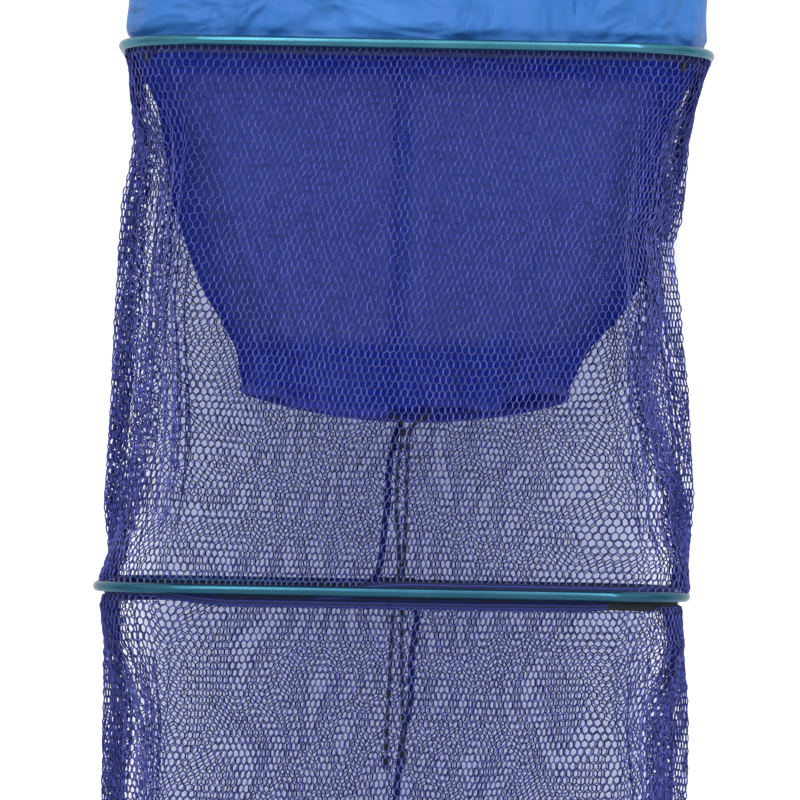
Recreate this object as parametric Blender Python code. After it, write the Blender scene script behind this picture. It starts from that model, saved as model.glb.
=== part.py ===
"""A keep net, hanging at full length from the screw boss on its mouth ring.

Rounded oblong rings of anodised tube carry a cloth collar, three bays of hexagon net and a flat net floor.
A tapering throat of net hangs inside the first bay, with a drawcord in the hem of its mouth.
Lengths are in metres and +Z is up. The origin is on the stud's axis, in the plane of the boss's underside.
"""

from math import asin, cos, degrees, hypot, pi, radians, sin

import bmesh
import bpy
from mathutils import Matrix, Vector

# Rings: rounded oblongs of tube, all alike
RING_WIDTH = 0.400
RING_DEPTH = 0.300
RING_CORNER = 0.056
TUBE_DIAMETER = 0.007
TUBE_SIDES = 10
CORNER_STEPS = 5

# Heights from ring to ring, and how far the lower rings hang to one side
COLLAR_DROP = 0.160
BAY_DROP = 0.362
RING_COUNT = 4
RING_SWAY = 0.0100
SWAY_SHARES = (0, 1, 1, 1)

# Clearances
SEAT_GAP = 0.0003
SEAM_GAP = 0.0008

# Webbing loops that tie each ring to its tape
WEB_THICKNESS = 0.0008
LOOP_TAIL = 0.008
SIDE_LOOP_WIDTH = 0.020
SIDE_LOOP_SETBACK = 0.062
BACK_LOOP_WIDTH = 0.032
LOOP_ARC_STEPS = 8
LOOP_ARC = (180, -125)
BACK_SHARE = 0

# Tape and binding, sewn round the net inside each ring
TAPE_THICKNESS = 0.0010
TAPE_RISE = 0.0030
TAPE_FALL = 0.0085
BINDING_HEIGHT = 0.0060
BINDING_THICKNESS = 0.0016

# Collar of coated cloth
CLOTH_THICKNESS = 0.0010
COLLAR_COLUMNS = 40
COLLAR_ROWS = 4
COLLAR_WAVE = 0.0035
COLLAR_WAVES = 10
HEM_TAIL = 0.0060
HEM_LAYER_GAP = 0.0004

# Net bays, drawn as a coarse mesh of hexagons
STRAND_WIDTH = 0.0032
STRAND_THICKNESS = 0.0012
CELLS_ROUND = 12
CELL_ROWS = 4
CELL_PEAK_SHARE = 0.20
BAY_SAG = 0.0050
SIDE_FOLD = 0.0120
SIDE_FOLD_START_SHARE = 0.80
SEAM_WIDTH = 0.0050
SEAM_THICKNESS = 0.0008
SEAM_ROWS = 8

# Net floor
FLOOR_RIM = 0.006
FLOOR_CELL = 0.054
FLOOR_CELL_HEIGHT_SHARE = 1.15
FLOOR_PEAK_SHARE = 0.25
FLOOR_LEAST_SHARE = 0.35
FLOOR_HALVINGS = 20

# Throat: a sleeve that narrows to a flat mouth
THROAT_DROP = 0.240
THROAT_END_RISE = 0.016
THROAT_COLUMNS = 36
THROAT_RIPPLE = 0.0040
THROAT_RIPPLES = 9
THROAT_DEPTH_SHARES = (0, 0.12, 0.42, 0.65, 0.86, 1)
THROAT_WIDTH_SHARES = (1, 0.95, 0.90, 0.81, 0.66, 0.59)
THROAT_GAPE_SHARES = (1, 0.88, 0.74, 0.56, 0.36, 0.24)
THROAT_CORNER_SHARE = 0.95

# Drawcord
CORD_DIAMETER = 0.0025
CORD_STEP_SHARE = 2.7
CORD_SIDES = 6
HEM_OPENING = 0.030
HEM_WALL = 0.0008
HEM_ARC_STEPS = 6
CORD_HEAD = 0.0040
KNOT_DIAMETER = 0.0070
KNOT_HEIGHT = 0.0130
KNOT_SIDES = 10

# Routes of the free ends, from the hem's opening down: across, away from the hem's middle line, and up
LEFT_CORD_ROUTE = (
    (0.0115, 0.0000, 0.0000),
    (0.0075, 0.0000, -0.0009),
    (0.0051, -0.0002, -0.0032),
    (0.0042, -0.0004, -0.0068),
    (0.0046, -0.0004, -0.0120),
    (0.0064, -0.0004, -0.0240),
    (0.0078, -0.0003, -0.0400),
    (0.0076, 0.0000, -0.0660),
    (0.0054, 0.0004, -0.0980),
    (0.0074, 0.0004, -0.1240),
    (0.0094, 0.0000, -0.1450),
    (0.0104, -0.0006, -0.1800),
    (0.0116, -0.0010, -0.2120),
    (0.0120, -0.0010, -0.2290),
)
RIGHT_CORD_ROUTE = (
    (0.0115, 0.0000, 0.0000),
    (0.0075, 0.0000, -0.0009),
    (0.0045, -0.0002, -0.0030),
    (0.0020, -0.0003, -0.0060),
    (0.0002, -0.0004, -0.0105),
    (-0.0008, -0.0005, -0.0180),
    (-0.0010, -0.0006, -0.0330),
    (-0.0013, -0.0010, -0.0700),
    (-0.0021, -0.0012, -0.0980),
    (-0.0027, -0.0010, -0.1300),
    (-0.0024, -0.0006, -0.1600),
    (-0.0012, 0.0000, -0.1950),
    (-0.0004, 0.0000, -0.2150),
    (-0.0003, 0.0000, -0.2240),
)

# Boss, stud and lock nut at the back of the mouth ring
STUD_REACH = 0.020
BOSS_HEIGHT = 0.018
BOSS_WIDTH = 0.044
BOSS_NECK = 0.022
BOSS_WRAP = 0.0075
BOSS_ROUND_STEPS = 10
BOSS_BEVEL = 0.0015
SOCKET_DEPTH = 0.014
SOCKET_CLEARANCE = 0.0003
STUD_DIAMETER = 0.0095
STUD_INSIDE = 0.012
STUD_OUTSIDE = 0.022
STUD_CHAMFER = 0.0010
STUD_SIDES = 20
NUT_DIAMETER = 0.022
NUT_HEIGHT = 0.0055
NUT_DROP = 0.0020
NUT_FLUTE = 0.0009
NUT_FLUTES = 12
NUT_FLUTE_STEPS = 3
NUT_CLEARANCE = 0.0003
RIVET_DIAMETER = 0.0026
RIVET_HEAD = 0.0050
RIVET_HEAD_HEIGHT = 0.0010
RIVET_INSET = 0.0070
RIVET_SIDES = 10
CUT_OVERRUN = 0.002

# Sizes that follow from those above
TUBE_RADIUS = TUBE_DIAMETER / 2
HALF_WIDTH = RING_WIDTH / 2 - TUBE_RADIUS
HALF_DEPTH = RING_DEPTH / 2 - TUBE_RADIUS
CORNER = RING_CORNER - TUBE_RADIUS
LOOP_RADIUS = TUBE_RADIUS + SEAT_GAP + WEB_THICKNESS / 2
TAPE_LINE = LOOP_RADIUS + WEB_THICKNESS / 2 + SEAT_GAP + TAPE_THICKNESS / 2
THROAT_LINE = TAPE_LINE + TAPE_THICKNESS / 2 + SEAM_GAP + STRAND_THICKNESS / 2
NET_AXIS_Y = -(STUD_REACH + RING_DEPTH / 2)
MOUTH_HEIGHT = BOSS_HEIGHT / 2


# Scene, materials and objects


def clear_scene():
    for old in list(bpy.data.objects):
        bpy.data.objects.remove(old)


def make_material(name, colour, roughness, metallic):
    material = bpy.data.materials.new(name)
    material.use_nodes = True
    shader = material.node_tree.nodes["Principled BSDF"]
    shader.inputs["Base Color"].default_value = (*colour, 1)
    shader.inputs["Roughness"].default_value = roughness
    shader.inputs["Metallic"].default_value = metallic
    material.diffuse_color = (*colour, 1)
    return material


def make_frame(name, place):
    frame = bpy.data.objects.new(name, None)
    frame.location = place
    bpy.context.scene.collection.objects.link(frame)
    return frame


def add_piece(name, bm, material, frame, smooth_angle=40):
    """Turns a finished bmesh into an object that hangs on a frame."""
    bmesh.ops.recalc_face_normals(bm, faces=bm.faces)
    mesh = bpy.data.meshes.new(name)
    bm.to_mesh(mesh)
    bm.free()
    mesh.shade_smooth()
    mesh.set_sharp_from_angle(angle=radians(smooth_angle))
    piece = bpy.data.objects.new(name, mesh)
    piece.data.materials.append(material)
    piece.parent = frame
    bpy.context.scene.collection.objects.link(piece)
    return piece


def cut_away(piece, bm, name):
    """Cuts the shapes of a bmesh out of a piece."""
    cutter = add_piece(name, bm, piece.data.materials[0], piece.parent)
    cutter.hide_render = True
    cutter.display_type = "WIRE"
    cut = piece.modifiers.new(name, "BOOLEAN")
    cut.operation = "DIFFERENCE"
    cut.object = cutter


# The plan outline: a rounded oblong, walked from the middle of its back towards +X


def plan_legs(half_width, half_depth, corner):
    """The straights and corners in walking order: length, start, heading and turning radius."""
    across = half_width - corner
    along = half_depth - corner
    bend = pi / 2 * corner
    return (
        (across, (0, half_depth), 0, 0),
        (bend, (across, half_depth), 0, corner),
        (2 * along, (half_width, along), -90, 0),
        (bend, (half_width, -along), -90, corner),
        (2 * across, (across, -half_depth), 180, 0),
        (bend, (-across, -half_depth), 180, corner),
        (2 * along, (-half_width, -along), 90, 0),
        (bend, (-half_width, along), 90, corner),
        (across, (-across, half_depth), 0, 0),
    )


def plan_point(share, half_width, half_depth, corner):
    """The point at a share of the way round, and the direction that faces out there."""
    legs = plan_legs(half_width, half_depth, corner)
    left = share % 1 * sum(leg[0] for leg in legs)
    for length, start, heading, radius in legs:
        if left <= length:
            break
        left -= length
    turned = degrees(left / radius) if radius else 0
    facing = radians(heading - turned + 90)
    outward = Vector((cos(facing), sin(facing), 0))
    if radius:
        first = radians(heading + 90)
        middle = Vector((*start, 0)) - radius * Vector((cos(first), sin(first), 0))
        return middle + radius * outward, outward
    ahead = radians(heading)
    return Vector((*start, 0)) + left * Vector((cos(ahead), sin(ahead), 0)), outward


def plan_stations(size, gap=0):
    """Points round an outline, close together in its corners, with a gap at the back's middle."""
    legs = plan_legs(*size)
    whole = sum(leg[0] for leg in legs)
    stops = [gap / 2] if gap else []
    walked = 0
    for length, _, _, radius in legs:
        if radius:
            stops += [walked + length * i / CORNER_STEPS for i in range(CORNER_STEPS + 1)]
        walked += length
    if gap:
        stops.append(whole - gap / 2)
    return [plan_point(stop / whole, *size) for stop in stops]


def ring_stations(gap=0):
    return plan_stations((HALF_WIDTH, HALF_DEPTH, CORNER), gap)


# Swept, lofted and turned shapes


def sweep(stations, profile, closed=True):
    """Carries a closed profile of (out, up) points along stations of (point, outward)."""
    bm = bmesh.new()
    rings = []
    for point, outward in stations:
        rings.append(
            [bm.verts.new(point + outward * out + Vector((0, 0, up))) for out, up in profile]
        )
    following = rings[1:] + rings[:1] if closed else rings[1:]
    for first, second in zip(rings, following):
        for i in range(len(profile)):
            j = (i + 1) % len(profile)
            bm.faces.new((first[i], first[j], second[j], second[i]))
    if not closed:
        bm.faces.new(rings[0])
        bm.faces.new(rings[-1])
    return bm


def round_profile(radius, sides):
    turns = [2 * pi * (i + 0.5) / sides for i in range(sides)]
    return [(radius * cos(turn), radius * sin(turn)) for turn in turns]


def flat_profile(out, thickness, low, high):
    half = thickness / 2
    return [(out - half, low), (out + half, low), (out + half, high), (out - half, high)]


def ribbon_profile(path, thickness):
    """The outline of a strip of this thickness folded along a path of (out, up) points."""
    left, right = [], []
    for i, point in enumerate(path):
        before = path[max(i - 1, 0)]
        after = path[min(i + 1, len(path) - 1)]
        run = (after[0] - before[0], after[1] - before[1])
        length = hypot(*run)
        side = (-run[1] / length * thickness / 2, run[0] / length * thickness / 2)
        left.append((point[0] + side[0], point[1] + side[1]))
        right.append((point[0] - side[0], point[1] - side[1]))
    return left + right[::-1]


def arc_path(radius, start, end, steps):
    """Points on an arc about the profile's origin, with angles in degrees."""
    turns = [radians(start + (end - start) * i / steps) for i in range(steps + 1)]
    return [(radius * cos(turn), radius * sin(turn)) for turn in turns]


def hem_profile(radius, thickness, tail, steps, layer_gap=HEM_LAYER_GAP):
    """Cloth folded round a tube or a cord, with both edges brought together on the tail's side."""
    side = (thickness + layer_gap) / 2
    lean = degrees(asin(side / radius))
    path = arc_path(radius, -90 + lean, 270 - lean, steps)
    return ribbon_profile([(side, -tail)] + path + [(-side, -tail)], thickness)


def turned(profile, sides):
    """A solid turned about the Z axis, from (radius, height) points that start and end on the axis."""
    bm = bmesh.new()
    tip = bm.verts.new((0, 0, profile[0][1]))
    tail = bm.verts.new((0, 0, profile[-1][1]))
    rings = []
    for radius, height in profile[1:-1]:
        turns = [2 * pi * i / sides for i in range(sides)]
        rings.append([bm.verts.new((radius * cos(t), radius * sin(t), height)) for t in turns])
    for i in range(sides):
        j = (i + 1) % sides
        bm.faces.new((tip, rings[0][i], rings[0][j]))
        bm.faces.new((tail, rings[-1][j], rings[-1][i]))
        for first, second in zip(rings, rings[1:]):
            bm.faces.new((first[i], second[i], second[j], first[j]))
    return bm


def rod(radius, length, sides, middle, axis="Z"):
    """A plain cylinder about a point, for pins, holes and sockets."""
    bm = bmesh.new()
    bmesh.ops.create_cone(
        bm, cap_ends=True, segments=sides, radius1=radius, radius2=radius, depth=length
    )
    if axis == "X":
        bmesh.ops.rotate(bm, verts=bm.verts, matrix=Matrix.Rotation(radians(90), 3, "Y"))
    bmesh.ops.translate(bm, verts=bm.verts, vec=middle)
    return bm


def joined(parts):
    """One bmesh that holds several."""
    whole = bmesh.new()
    for part in parts:
        mesh = bpy.data.meshes.new("part")
        part.to_mesh(mesh)
        part.free()
        whole.from_mesh(mesh)
        bpy.data.meshes.remove(mesh)
    return whole


def loft_skin(rows, closed=True):
    """Quads between rows of points."""
    bm = bmesh.new()
    lines = [[bm.verts.new(point) for point in row] for row in rows]
    for upper, lower in zip(lines, lines[1:]):
        count = len(upper) if closed else len(upper) - 1
        for i in range(count):
            j = (i + 1) % len(upper)
            bm.faces.new((upper[i], upper[j], lower[j], lower[i]))
    return bm


def thicken(piece, thickness):
    """Gives an open skin its thickness, half to each side."""
    wall = piece.modifiers.new("wall", "SOLIDIFY")
    wall.thickness = thickness
    wall.offset = 0
    wall.use_even_offset = True


# Rings with their loops, tape and binding


def ring_tube(number, frame, material):
    profile = round_profile(TUBE_RADIUS, TUBE_SIDES)
    add_piece(f"ring_{number}_tube", sweep(ring_stations(), profile), material, frame)


def ring_tape(number, frame, material):
    profile = flat_profile(-TAPE_LINE, TAPE_THICKNESS, -TAPE_FALL, TAPE_RISE)
    add_piece(f"ring_{number}_tape", sweep(ring_stations(), profile), material, frame)


def ring_binding(number, frame, material):
    top = -TAPE_FALL - SEAT_GAP
    profile = flat_profile(-TAPE_LINE, BINDING_THICKNESS, top - BINDING_HEIGHT, top)
    add_piece(f"ring_{number}_binding", sweep(ring_stations(), profile), material, frame)


def webbing_loop(name, place, width, frame, material):
    """Webbing folded round the tube, with its tail sewn flat to the tape."""
    path = [(-LOOP_RADIUS, -LOOP_TAIL)]
    path += arc_path(LOOP_RADIUS, *LOOP_ARC, LOOP_ARC_STEPS)
    profile = ribbon_profile(path, WEB_THICKNESS)
    point, outward = place
    ahead = outward.cross(Vector((0, 0, 1))) * width / 2
    stations = [(point - ahead, outward), (point + ahead, outward)]
    add_piece(name, sweep(stations, profile, closed=False), material, frame)


def ring_loops(number, frame, material):
    """One loop on each side, behind its middle, and a wider one in the middle of the back."""
    for name, side in (("left", -1), ("right", 1)):
        place = Vector((side * HALF_WIDTH, SIDE_LOOP_SETBACK, 0)), Vector((side, 0, 0))
        webbing_loop(f"ring_{number}_loop_{name}", place, SIDE_LOOP_WIDTH, frame, material)
    back = plan_point(BACK_SHARE, HALF_WIDTH, HALF_DEPTH, CORNER)
    webbing_loop(f"ring_{number}_loop_back", back, BACK_LOOP_WIDTH, frame, material)


# Collar and its hem round the mouth ring


def mouth_gap():
    """Where the hem stops short of the boss on both sides."""
    return BOSS_WIDTH + 2 * BOSS_BEVEL


def mouth_ring(frame, material):
    gap = BOSS_WIDTH - 2 * SOCKET_DEPTH + 2 * SOCKET_CLEARANCE
    profile = round_profile(TUBE_RADIUS, TUBE_SIDES)
    bm = sweep(ring_stations(gap), profile, closed=False)
    ring = add_piece("mouth_ring", bm, material, frame)
    holes = [
        rod(RIVET_DIAMETER / 2 + SEAT_GAP, TUBE_DIAMETER + CUT_OVERRUN, RIVET_SIDES, place)
        for place in rivet_places()
    ]
    cut_away(ring, joined(holes), "mouth_ring_holes")


def collar_hem(frame, material):
    radius = TUBE_RADIUS + SEAT_GAP + CLOTH_THICKNESS / 2
    profile = hem_profile(radius, CLOTH_THICKNESS, collar_top(), LOOP_ARC_STEPS)
    bm = sweep(ring_stations(mouth_gap()), profile, closed=False)
    add_piece("collar_hem", bm, material, frame)


def collar_top():
    """How far below the mouth ring's middle the collar panel starts."""
    return max(HEM_TAIL, BOSS_HEIGHT / 2) + SEAT_GAP


def collar_panel(frame, material):
    """Coated cloth from the hem's tail down to the first ring's tape, with soft slanting waves."""
    top = -collar_top() - SEAT_GAP
    low = -COLLAR_DROP + TAPE_RISE + SEAT_GAP
    rows = []
    for row in range(COLLAR_ROWS + 1):
        part = row / COLLAR_ROWS
        points = []
        for column in range(COLLAR_COLUMNS):
            share = column / COLLAR_COLUMNS
            point, outward = plan_point(share, HALF_WIDTH, HALF_DEPTH, CORNER)
            wave = sin(2 * pi * COLLAR_WAVES * share + pi * part) * sin(pi * part)
            out = COLLAR_WAVE * wave - TAPE_LINE * part
            height = top + (low - top) * part
            points.append(point + outward * out + Vector((0, 0, height)))
        rows.append(points)
    panel = add_piece("collar_panel", loft_skin(rows), material, frame)
    thicken(panel, CLOTH_THICKNESS)


# Net bays


def bay_inward(share, part):
    """How far the net lies inside the line from ring to ring: a sag, and folds that gather at both ends."""
    point, _ = plan_point(share, HALF_WIDTH, HALF_DEPTH, CORNER)
    aside = abs(point.x) / HALF_WIDTH
    gather = max(0, (aside - SIDE_FOLD_START_SHARE) / (1 - SIDE_FOLD_START_SHARE))
    pleat = (1 - cos(2 * pi * CELLS_ROUND * share)) / 2
    return sin(pi * part) * (BAY_SAG + SIDE_FOLD * gather * pleat)


def bay_point(share, part, top, low, sway, out=0):
    point, outward = plan_point(share, HALF_WIDTH, HALF_DEPTH, CORNER)
    inward = TAPE_LINE + bay_inward(share, part) - out
    return point - outward * inward + Vector((sway * part, 0, top + (low - top) * part))


def bay_net(number, top, low, sway, frame, material):
    """A tube of hexagon mesh whose first and last rows of cells are cut straight by the hems."""
    columns = 2 * CELLS_ROUND
    lines = []
    bm = bmesh.new()
    for line in range(CELL_ROWS + 1):
        edge = line in (0, CELL_ROWS)
        verts = []
        for column in range(columns):
            peak = 0 if edge else CELL_PEAK_SHARE * (1 if (column + line) % 2 else -1)
            part = (line - peak) / CELL_ROWS
            verts.append(bm.verts.new(bay_point(column / columns, part, top, low, sway)))
        lines.append(verts)
    for row in range(CELL_ROWS):
        for cell in range(CELLS_ROUND):
            first = 2 * cell + row % 2
            i, j, k = (first % columns, (first + 1) % columns, (first + 2) % columns)
            upper = [lines[row][n] for n in (i, j, k)]
            lower = [lines[row + 1][n] for n in (k, j, i)]
            bm.faces.new(upper + lower)
    bmesh.ops.recalc_face_normals(bm, faces=bm.faces)
    cut = bmesh.ops.inset_individual(bm, faces=bm.faces, thickness=STRAND_WIDTH / 2)
    strands = set(cut["faces"])
    gaps = [face for face in bm.faces if face not in strands]
    bmesh.ops.delete(bm, geom=gaps, context="FACES_ONLY")
    net = add_piece(f"bay_{number}_net", bm, material, frame)
    thicken(net, STRAND_THICKNESS)


def bay_seam(number, top, low, sway, frame, material):
    """The strip that closes the tube of net, down the middle of the back."""
    out = STRAND_THICKNESS / 2 + SEAM_GAP + SEAM_THICKNESS / 2
    half = Vector((SEAM_WIDTH / 2, 0, 0))
    rows = []
    for row in range(SEAM_ROWS + 1):
        middle = bay_point(0, row / SEAM_ROWS, top, low, sway, out)
        rows.append([middle - half, middle + half])
    seam = add_piece(f"bay_{number}_seam", loft_skin(rows, closed=False), material, frame)
    thicken(seam, SEAM_THICKNESS)


def net_floor(frame, material):
    """A flat net across the last ring, under its tape, with its cells inside a plain rim."""
    inward = TAPE_LINE - TAPE_THICKNESS / 2
    size = (HALF_WIDTH - inward, HALF_DEPTH - inward, CORNER - inward)
    height = -TAPE_FALL - SEAT_GAP - STRAND_THICKNESS
    outline = [point for point, _ in plan_stations(size)]
    sheet = prism(outline, height, height + STRAND_THICKNESS)
    floor = add_piece("floor_net", sheet, material, frame, smooth_angle=20)
    cut_away(floor, joined(floor_gaps(size, height)), "floor_gaps")


def floor_gaps(size, height):
    """Six-sided cutters on a staggered grid, each drawn in where it would cross the rim."""
    half_width, half_depth, corner = size
    step = FLOOR_CELL
    tall = FLOOR_CELL * FLOOR_CELL_HEIGHT_SHARE / 2
    pitch = 2 * tall * (1 - FLOOR_PEAK_SHARE)
    reach = tall - STRAND_WIDTH / 2
    wide = step / 2 - STRAND_WIDTH / 2
    shoulder = reach * (1 - 2 * FLOOR_PEAK_SHARE)
    right = [(0, reach), (wide, shoulder), (wide, -shoulder)]
    outline = right + [(-x, -y) for x, y in right]
    cutters = []
    rows = int(half_depth / pitch)
    columns = int(half_width / step) + 1
    for row in range(-rows, rows + 1):
        for column in range(-columns, columns + 1):
            middle = Vector(((column + row % 2 / 2) * step, row * pitch, 0))
            if not inside_plan(middle, size):
                continue
            corners = [drawn_in(middle, middle + Vector((x, y, 0)), size) for x, y in outline]
            if min((point - middle).length for point in corners) > wide * FLOOR_LEAST_SHARE:
                cutters.append(prism(corners, height - CUT_OVERRUN, height + CUT_OVERRUN))
    return cutters


def inside_plan(point, size):
    """Whether a point lies inside the rounded oblong by at least the rim."""
    half_width, half_depth, corner = size
    aside = max(abs(point.x) - (half_width - corner), 0)
    away = max(abs(point.y) - (half_depth - corner), 0)
    return hypot(aside, away) <= corner - FLOOR_RIM


def drawn_in(middle, point, size):
    """The point, or where the line to it from the middle meets the rim."""
    if inside_plan(point, size):
        return point
    near, far = 0, 1
    for _ in range(FLOOR_HALVINGS):
        share = (near + far) / 2
        if inside_plan(middle + (point - middle) * share, size):
            near = share
        else:
            far = share
    return middle + (point - middle) * near


def prism(corners, low, high):
    bm = bmesh.new()
    below = [bm.verts.new(point + Vector((0, 0, low))) for point in corners]
    above = [bm.verts.new(point + Vector((0, 0, high))) for point in corners]
    bm.faces.new(below[::-1])
    bm.faces.new(above)
    for i in range(len(corners)):
        j = (i + 1) % len(corners)
        bm.faces.new((below[i], below[j], above[j], above[i]))
    return bm


# Throat and drawcord


def throat_row(row):
    """Points round the throat at one of its levels, walked from the front's middle."""
    width = (HALF_WIDTH - THROAT_LINE) * THROAT_WIDTH_SHARES[row]
    gape = (HALF_DEPTH - THROAT_LINE) * THROAT_GAPE_SHARES[row]
    corner = min(CORNER - THROAT_LINE, gape * THROAT_CORNER_SHARE)
    depth = THROAT_DEPTH_SHARES[row]
    points = []
    for column in range(THROAT_COLUMNS):
        share = column / THROAT_COLUMNS + 0.5
        point, outward = plan_point(share, width, gape, corner)
        ripple = THROAT_RIPPLE * depth**2 * cos(2 * pi * THROAT_RIPPLES * share)
        rise = THROAT_END_RISE * (depth * point.x / width) ** 2
        points.append(point + outward * ripple + Vector((0, 0, rise - THROAT_DROP * depth)))
    return points


def throat_net(frame, material):
    rows = [throat_row(row) for row in range(len(THROAT_DEPTH_SHARES))]
    throat = add_piece("throat_net", loft_skin(rows), material, frame)
    thicken(throat, STRAND_THICKNESS)


def throat_mouth(height, head=0):
    """Stations along the throat's lower edge, open at the front, with straight ends this much longer."""
    edge = throat_row(len(THROAT_DEPTH_SHARES) - 1)
    front = edge[0]
    half = HEM_OPENING / 2
    line = [point for point in edge[1:] if hypot(point.x, point.y - front.y) > half]
    for reach in (half, half - head) if head else (half,):
        line.insert(0, Vector((-reach, front.y, front.z)))
        line.append(Vector((reach, front.y, front.z)))
    stations = []
    for i, point in enumerate(line):
        run = line[min(i + 1, len(line) - 1)] - line[max(i - 1, 0)]
        straight = abs(point.x) <= half and point.y == front.y
        outward = Vector((0, -1, 0)) if straight else Vector((-run.y, run.x, 0)).normalized()
        stations.append((point + Vector((0, 0, height)), outward))
    return stations


def hem_radius():
    return CORD_DIAMETER / 2 + SEAT_GAP + HEM_WALL / 2


def cord_level():
    """How far the drawcord's middle lies below the throat's lower edge."""
    return -(SEAM_GAP + SEAT_GAP + hem_radius() + HEM_WALL + STRAND_THICKNESS)


def throat_hem(frame, material):
    """The hem that the drawcord runs in, folded under the throat's lower edge."""
    tail = -cord_level() - SEAM_GAP
    profile = [(out, -up) for out, up in hem_profile(hem_radius(), HEM_WALL, tail, HEM_ARC_STEPS)]
    bm = sweep(throat_mouth(cord_level()), profile, closed=False)
    add_piece("throat_hem", bm, material, frame)


def hem_cord(frame, material):
    profile = round_profile(CORD_DIAMETER / 2, CORD_SIDES)
    bm = sweep(throat_mouth(cord_level(), CORD_HEAD), profile, closed=False)
    add_piece("drawcord_in_hem", bm, material, frame)


def smooth_route(route, step):
    """Points about a step apart on a smooth curve through a route's own points."""
    ends = [2 * route[0] - route[1]] + list(route) + [2 * route[-1] - route[-2]]
    points = []
    for before, first, second, after in zip(ends, ends[1:], ends[2:], ends[3:]):
        count = max(1, round((second - first).length / step))
        for i in range(count):
            t = i / count
            points.append(
                0.5
                * (
                    2 * first
                    + (second - before) * t
                    + (2 * before - 5 * first + 4 * second - after) * t**2
                    + (3 * first - before - 3 * second + after) * t**3
                )
            )
    points.append(route[-1])
    return points


def cord_start():
    """The middle of the hem's opening, level with the drawcord."""
    front = throat_row(len(THROAT_DEPTH_SHARES) - 1)[0]
    return Vector((0, front.y, front.z + cord_level()))


def free_cord(name, route, side, frame, material):
    curve = bpy.data.curves.new(name, "CURVE")
    curve.dimensions = "3D"
    curve.bevel_depth = CORD_DIAMETER / 2
    curve.bevel_resolution = 2
    curve.render_resolution_u = 0
    curve.use_fill_caps = True
    turned_route = [cord_start() + Vector((side * x, y, z)) for x, y, z in route]
    reach = HEM_OPENING / 2 - CORD_HEAD - SEAT_GAP
    turned_route[0].x = side * reach
    points = smooth_route(turned_route, CORD_STEP_SHARE * CORD_DIAMETER)
    spline = curve.splines.new("POLY")
    spline.points.add(len(points) - 1)
    for spot, point in zip(spline.points, points):
        spot.co = (*point, 1)
    curve.materials.append(material)
    cord = bpy.data.objects.new(name, curve)
    cord.parent = frame
    bpy.context.scene.collection.objects.link(cord)


def cord_knot(name, route, side, frame, material):
    """A drop-shaped knot at the end of a free cord."""
    radius = KNOT_DIAMETER / 2
    shape_shares = ((0, 0), (0.42, 0), (0.70, 0.22), (1, 0.58), (0.80, 0.86), (0.40, 1), (0, 1))
    profile = [(radius * wide, -KNOT_HEIGHT * deep) for wide, deep in shape_shares]
    bm = turned(profile, KNOT_SIDES)
    x, y, z = route[-1]
    place = cord_start() + Vector((side * x, y, z - SEAT_GAP))
    bmesh.ops.translate(bm, verts=bm.verts, vec=place)
    add_piece(name, bm, material, frame, smooth_angle=60)


# Boss, stud, rivets and lock nut


def rivet_places():
    """Where the rivets pin the tube's ends, in the mouth ring's frame."""
    aside = BOSS_WIDTH / 2 - RIVET_INSET
    return [Vector((side * aside, HALF_DEPTH, 0)) for side in (-1, 1)]


def boss(frame, material):
    """A moulded block round the ends of the tube, narrowing to the stud's round end."""
    ring_line = -(STUD_REACH + TUBE_RADIUS)
    half = BOSS_WIDTH / 2
    front = ring_line - BOSS_WRAP
    back = ring_line + BOSS_WRAP
    neck = BOSS_NECK / 2
    outline = [(-half, front), (half, front), (half, back)]
    for i in range(BOSS_ROUND_STEPS + 1):
        turn = pi * i / BOSS_ROUND_STEPS
        outline.append((neck * cos(turn), neck * sin(turn)))
    outline.append((-half, back))
    bm = prism([Vector((x, y, 0)) for x, y in outline], 0, BOSS_HEIGHT)
    block = add_piece("mouth_boss", bm, material, frame, smooth_angle=30)
    edge = block.modifiers.new("edge", "BEVEL")
    edge.width = BOSS_BEVEL
    edge.segments = 1
    edge.limit_method = "ANGLE"
    edge.angle_limit = radians(60)
    cut_away(block, joined(boss_hollows(ring_line)), "boss_hollows")
    cut_away(block, rivet_holes(), "boss_rivet_holes")


def boss_hollows(ring_line):
    """Sockets for the tube's ends, the stud's hole and the rivet holes."""
    socket_radius = TUBE_RADIUS + SOCKET_CLEARANCE
    depth = SOCKET_DEPTH + CUT_OVERRUN
    aside = BOSS_WIDTH / 2 - SOCKET_DEPTH + depth / 2
    hollows = []
    for side in (-1, 1):
        middle = Vector((side * aside, ring_line, MOUTH_HEIGHT))
        hollows.append(rod(socket_radius, depth, TUBE_SIDES * 2, middle, "X"))
    stud_depth = STUD_INSIDE + SEAT_GAP + CUT_OVERRUN
    stud_middle = Vector((0, 0, STUD_INSIDE + SEAT_GAP - stud_depth / 2))
    hollows.append(rod(STUD_DIAMETER / 2 + SEAT_GAP, stud_depth, STUD_SIDES, stud_middle))
    return hollows


def rivet_holes():
    long = BOSS_HEIGHT + 2 * CUT_OVERRUN
    radius = RIVET_DIAMETER / 2 + SEAT_GAP
    lift = Vector((0, NET_AXIS_Y, MOUTH_HEIGHT))
    return joined([rod(radius, long, RIVET_SIDES, place + lift) for place in rivet_places()])


def rivet(name, place, frame, material):
    """A rivet with its head on top of the boss and its lower end flush with the underside."""
    half = BOSS_HEIGHT / 2
    head = RIVET_HEAD / 2
    shank = RIVET_DIAMETER / 2
    seat = half + SEAT_GAP
    top = seat + RIVET_HEAD_HEIGHT
    profile = [(0, top), (shank, top), (head, seat), (shank, seat), (shank, -half), (0, -half)]
    bm = turned(profile, RIVET_SIDES)
    bmesh.ops.translate(bm, verts=bm.verts, vec=place)
    add_piece(name, bm, material, frame)


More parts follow.
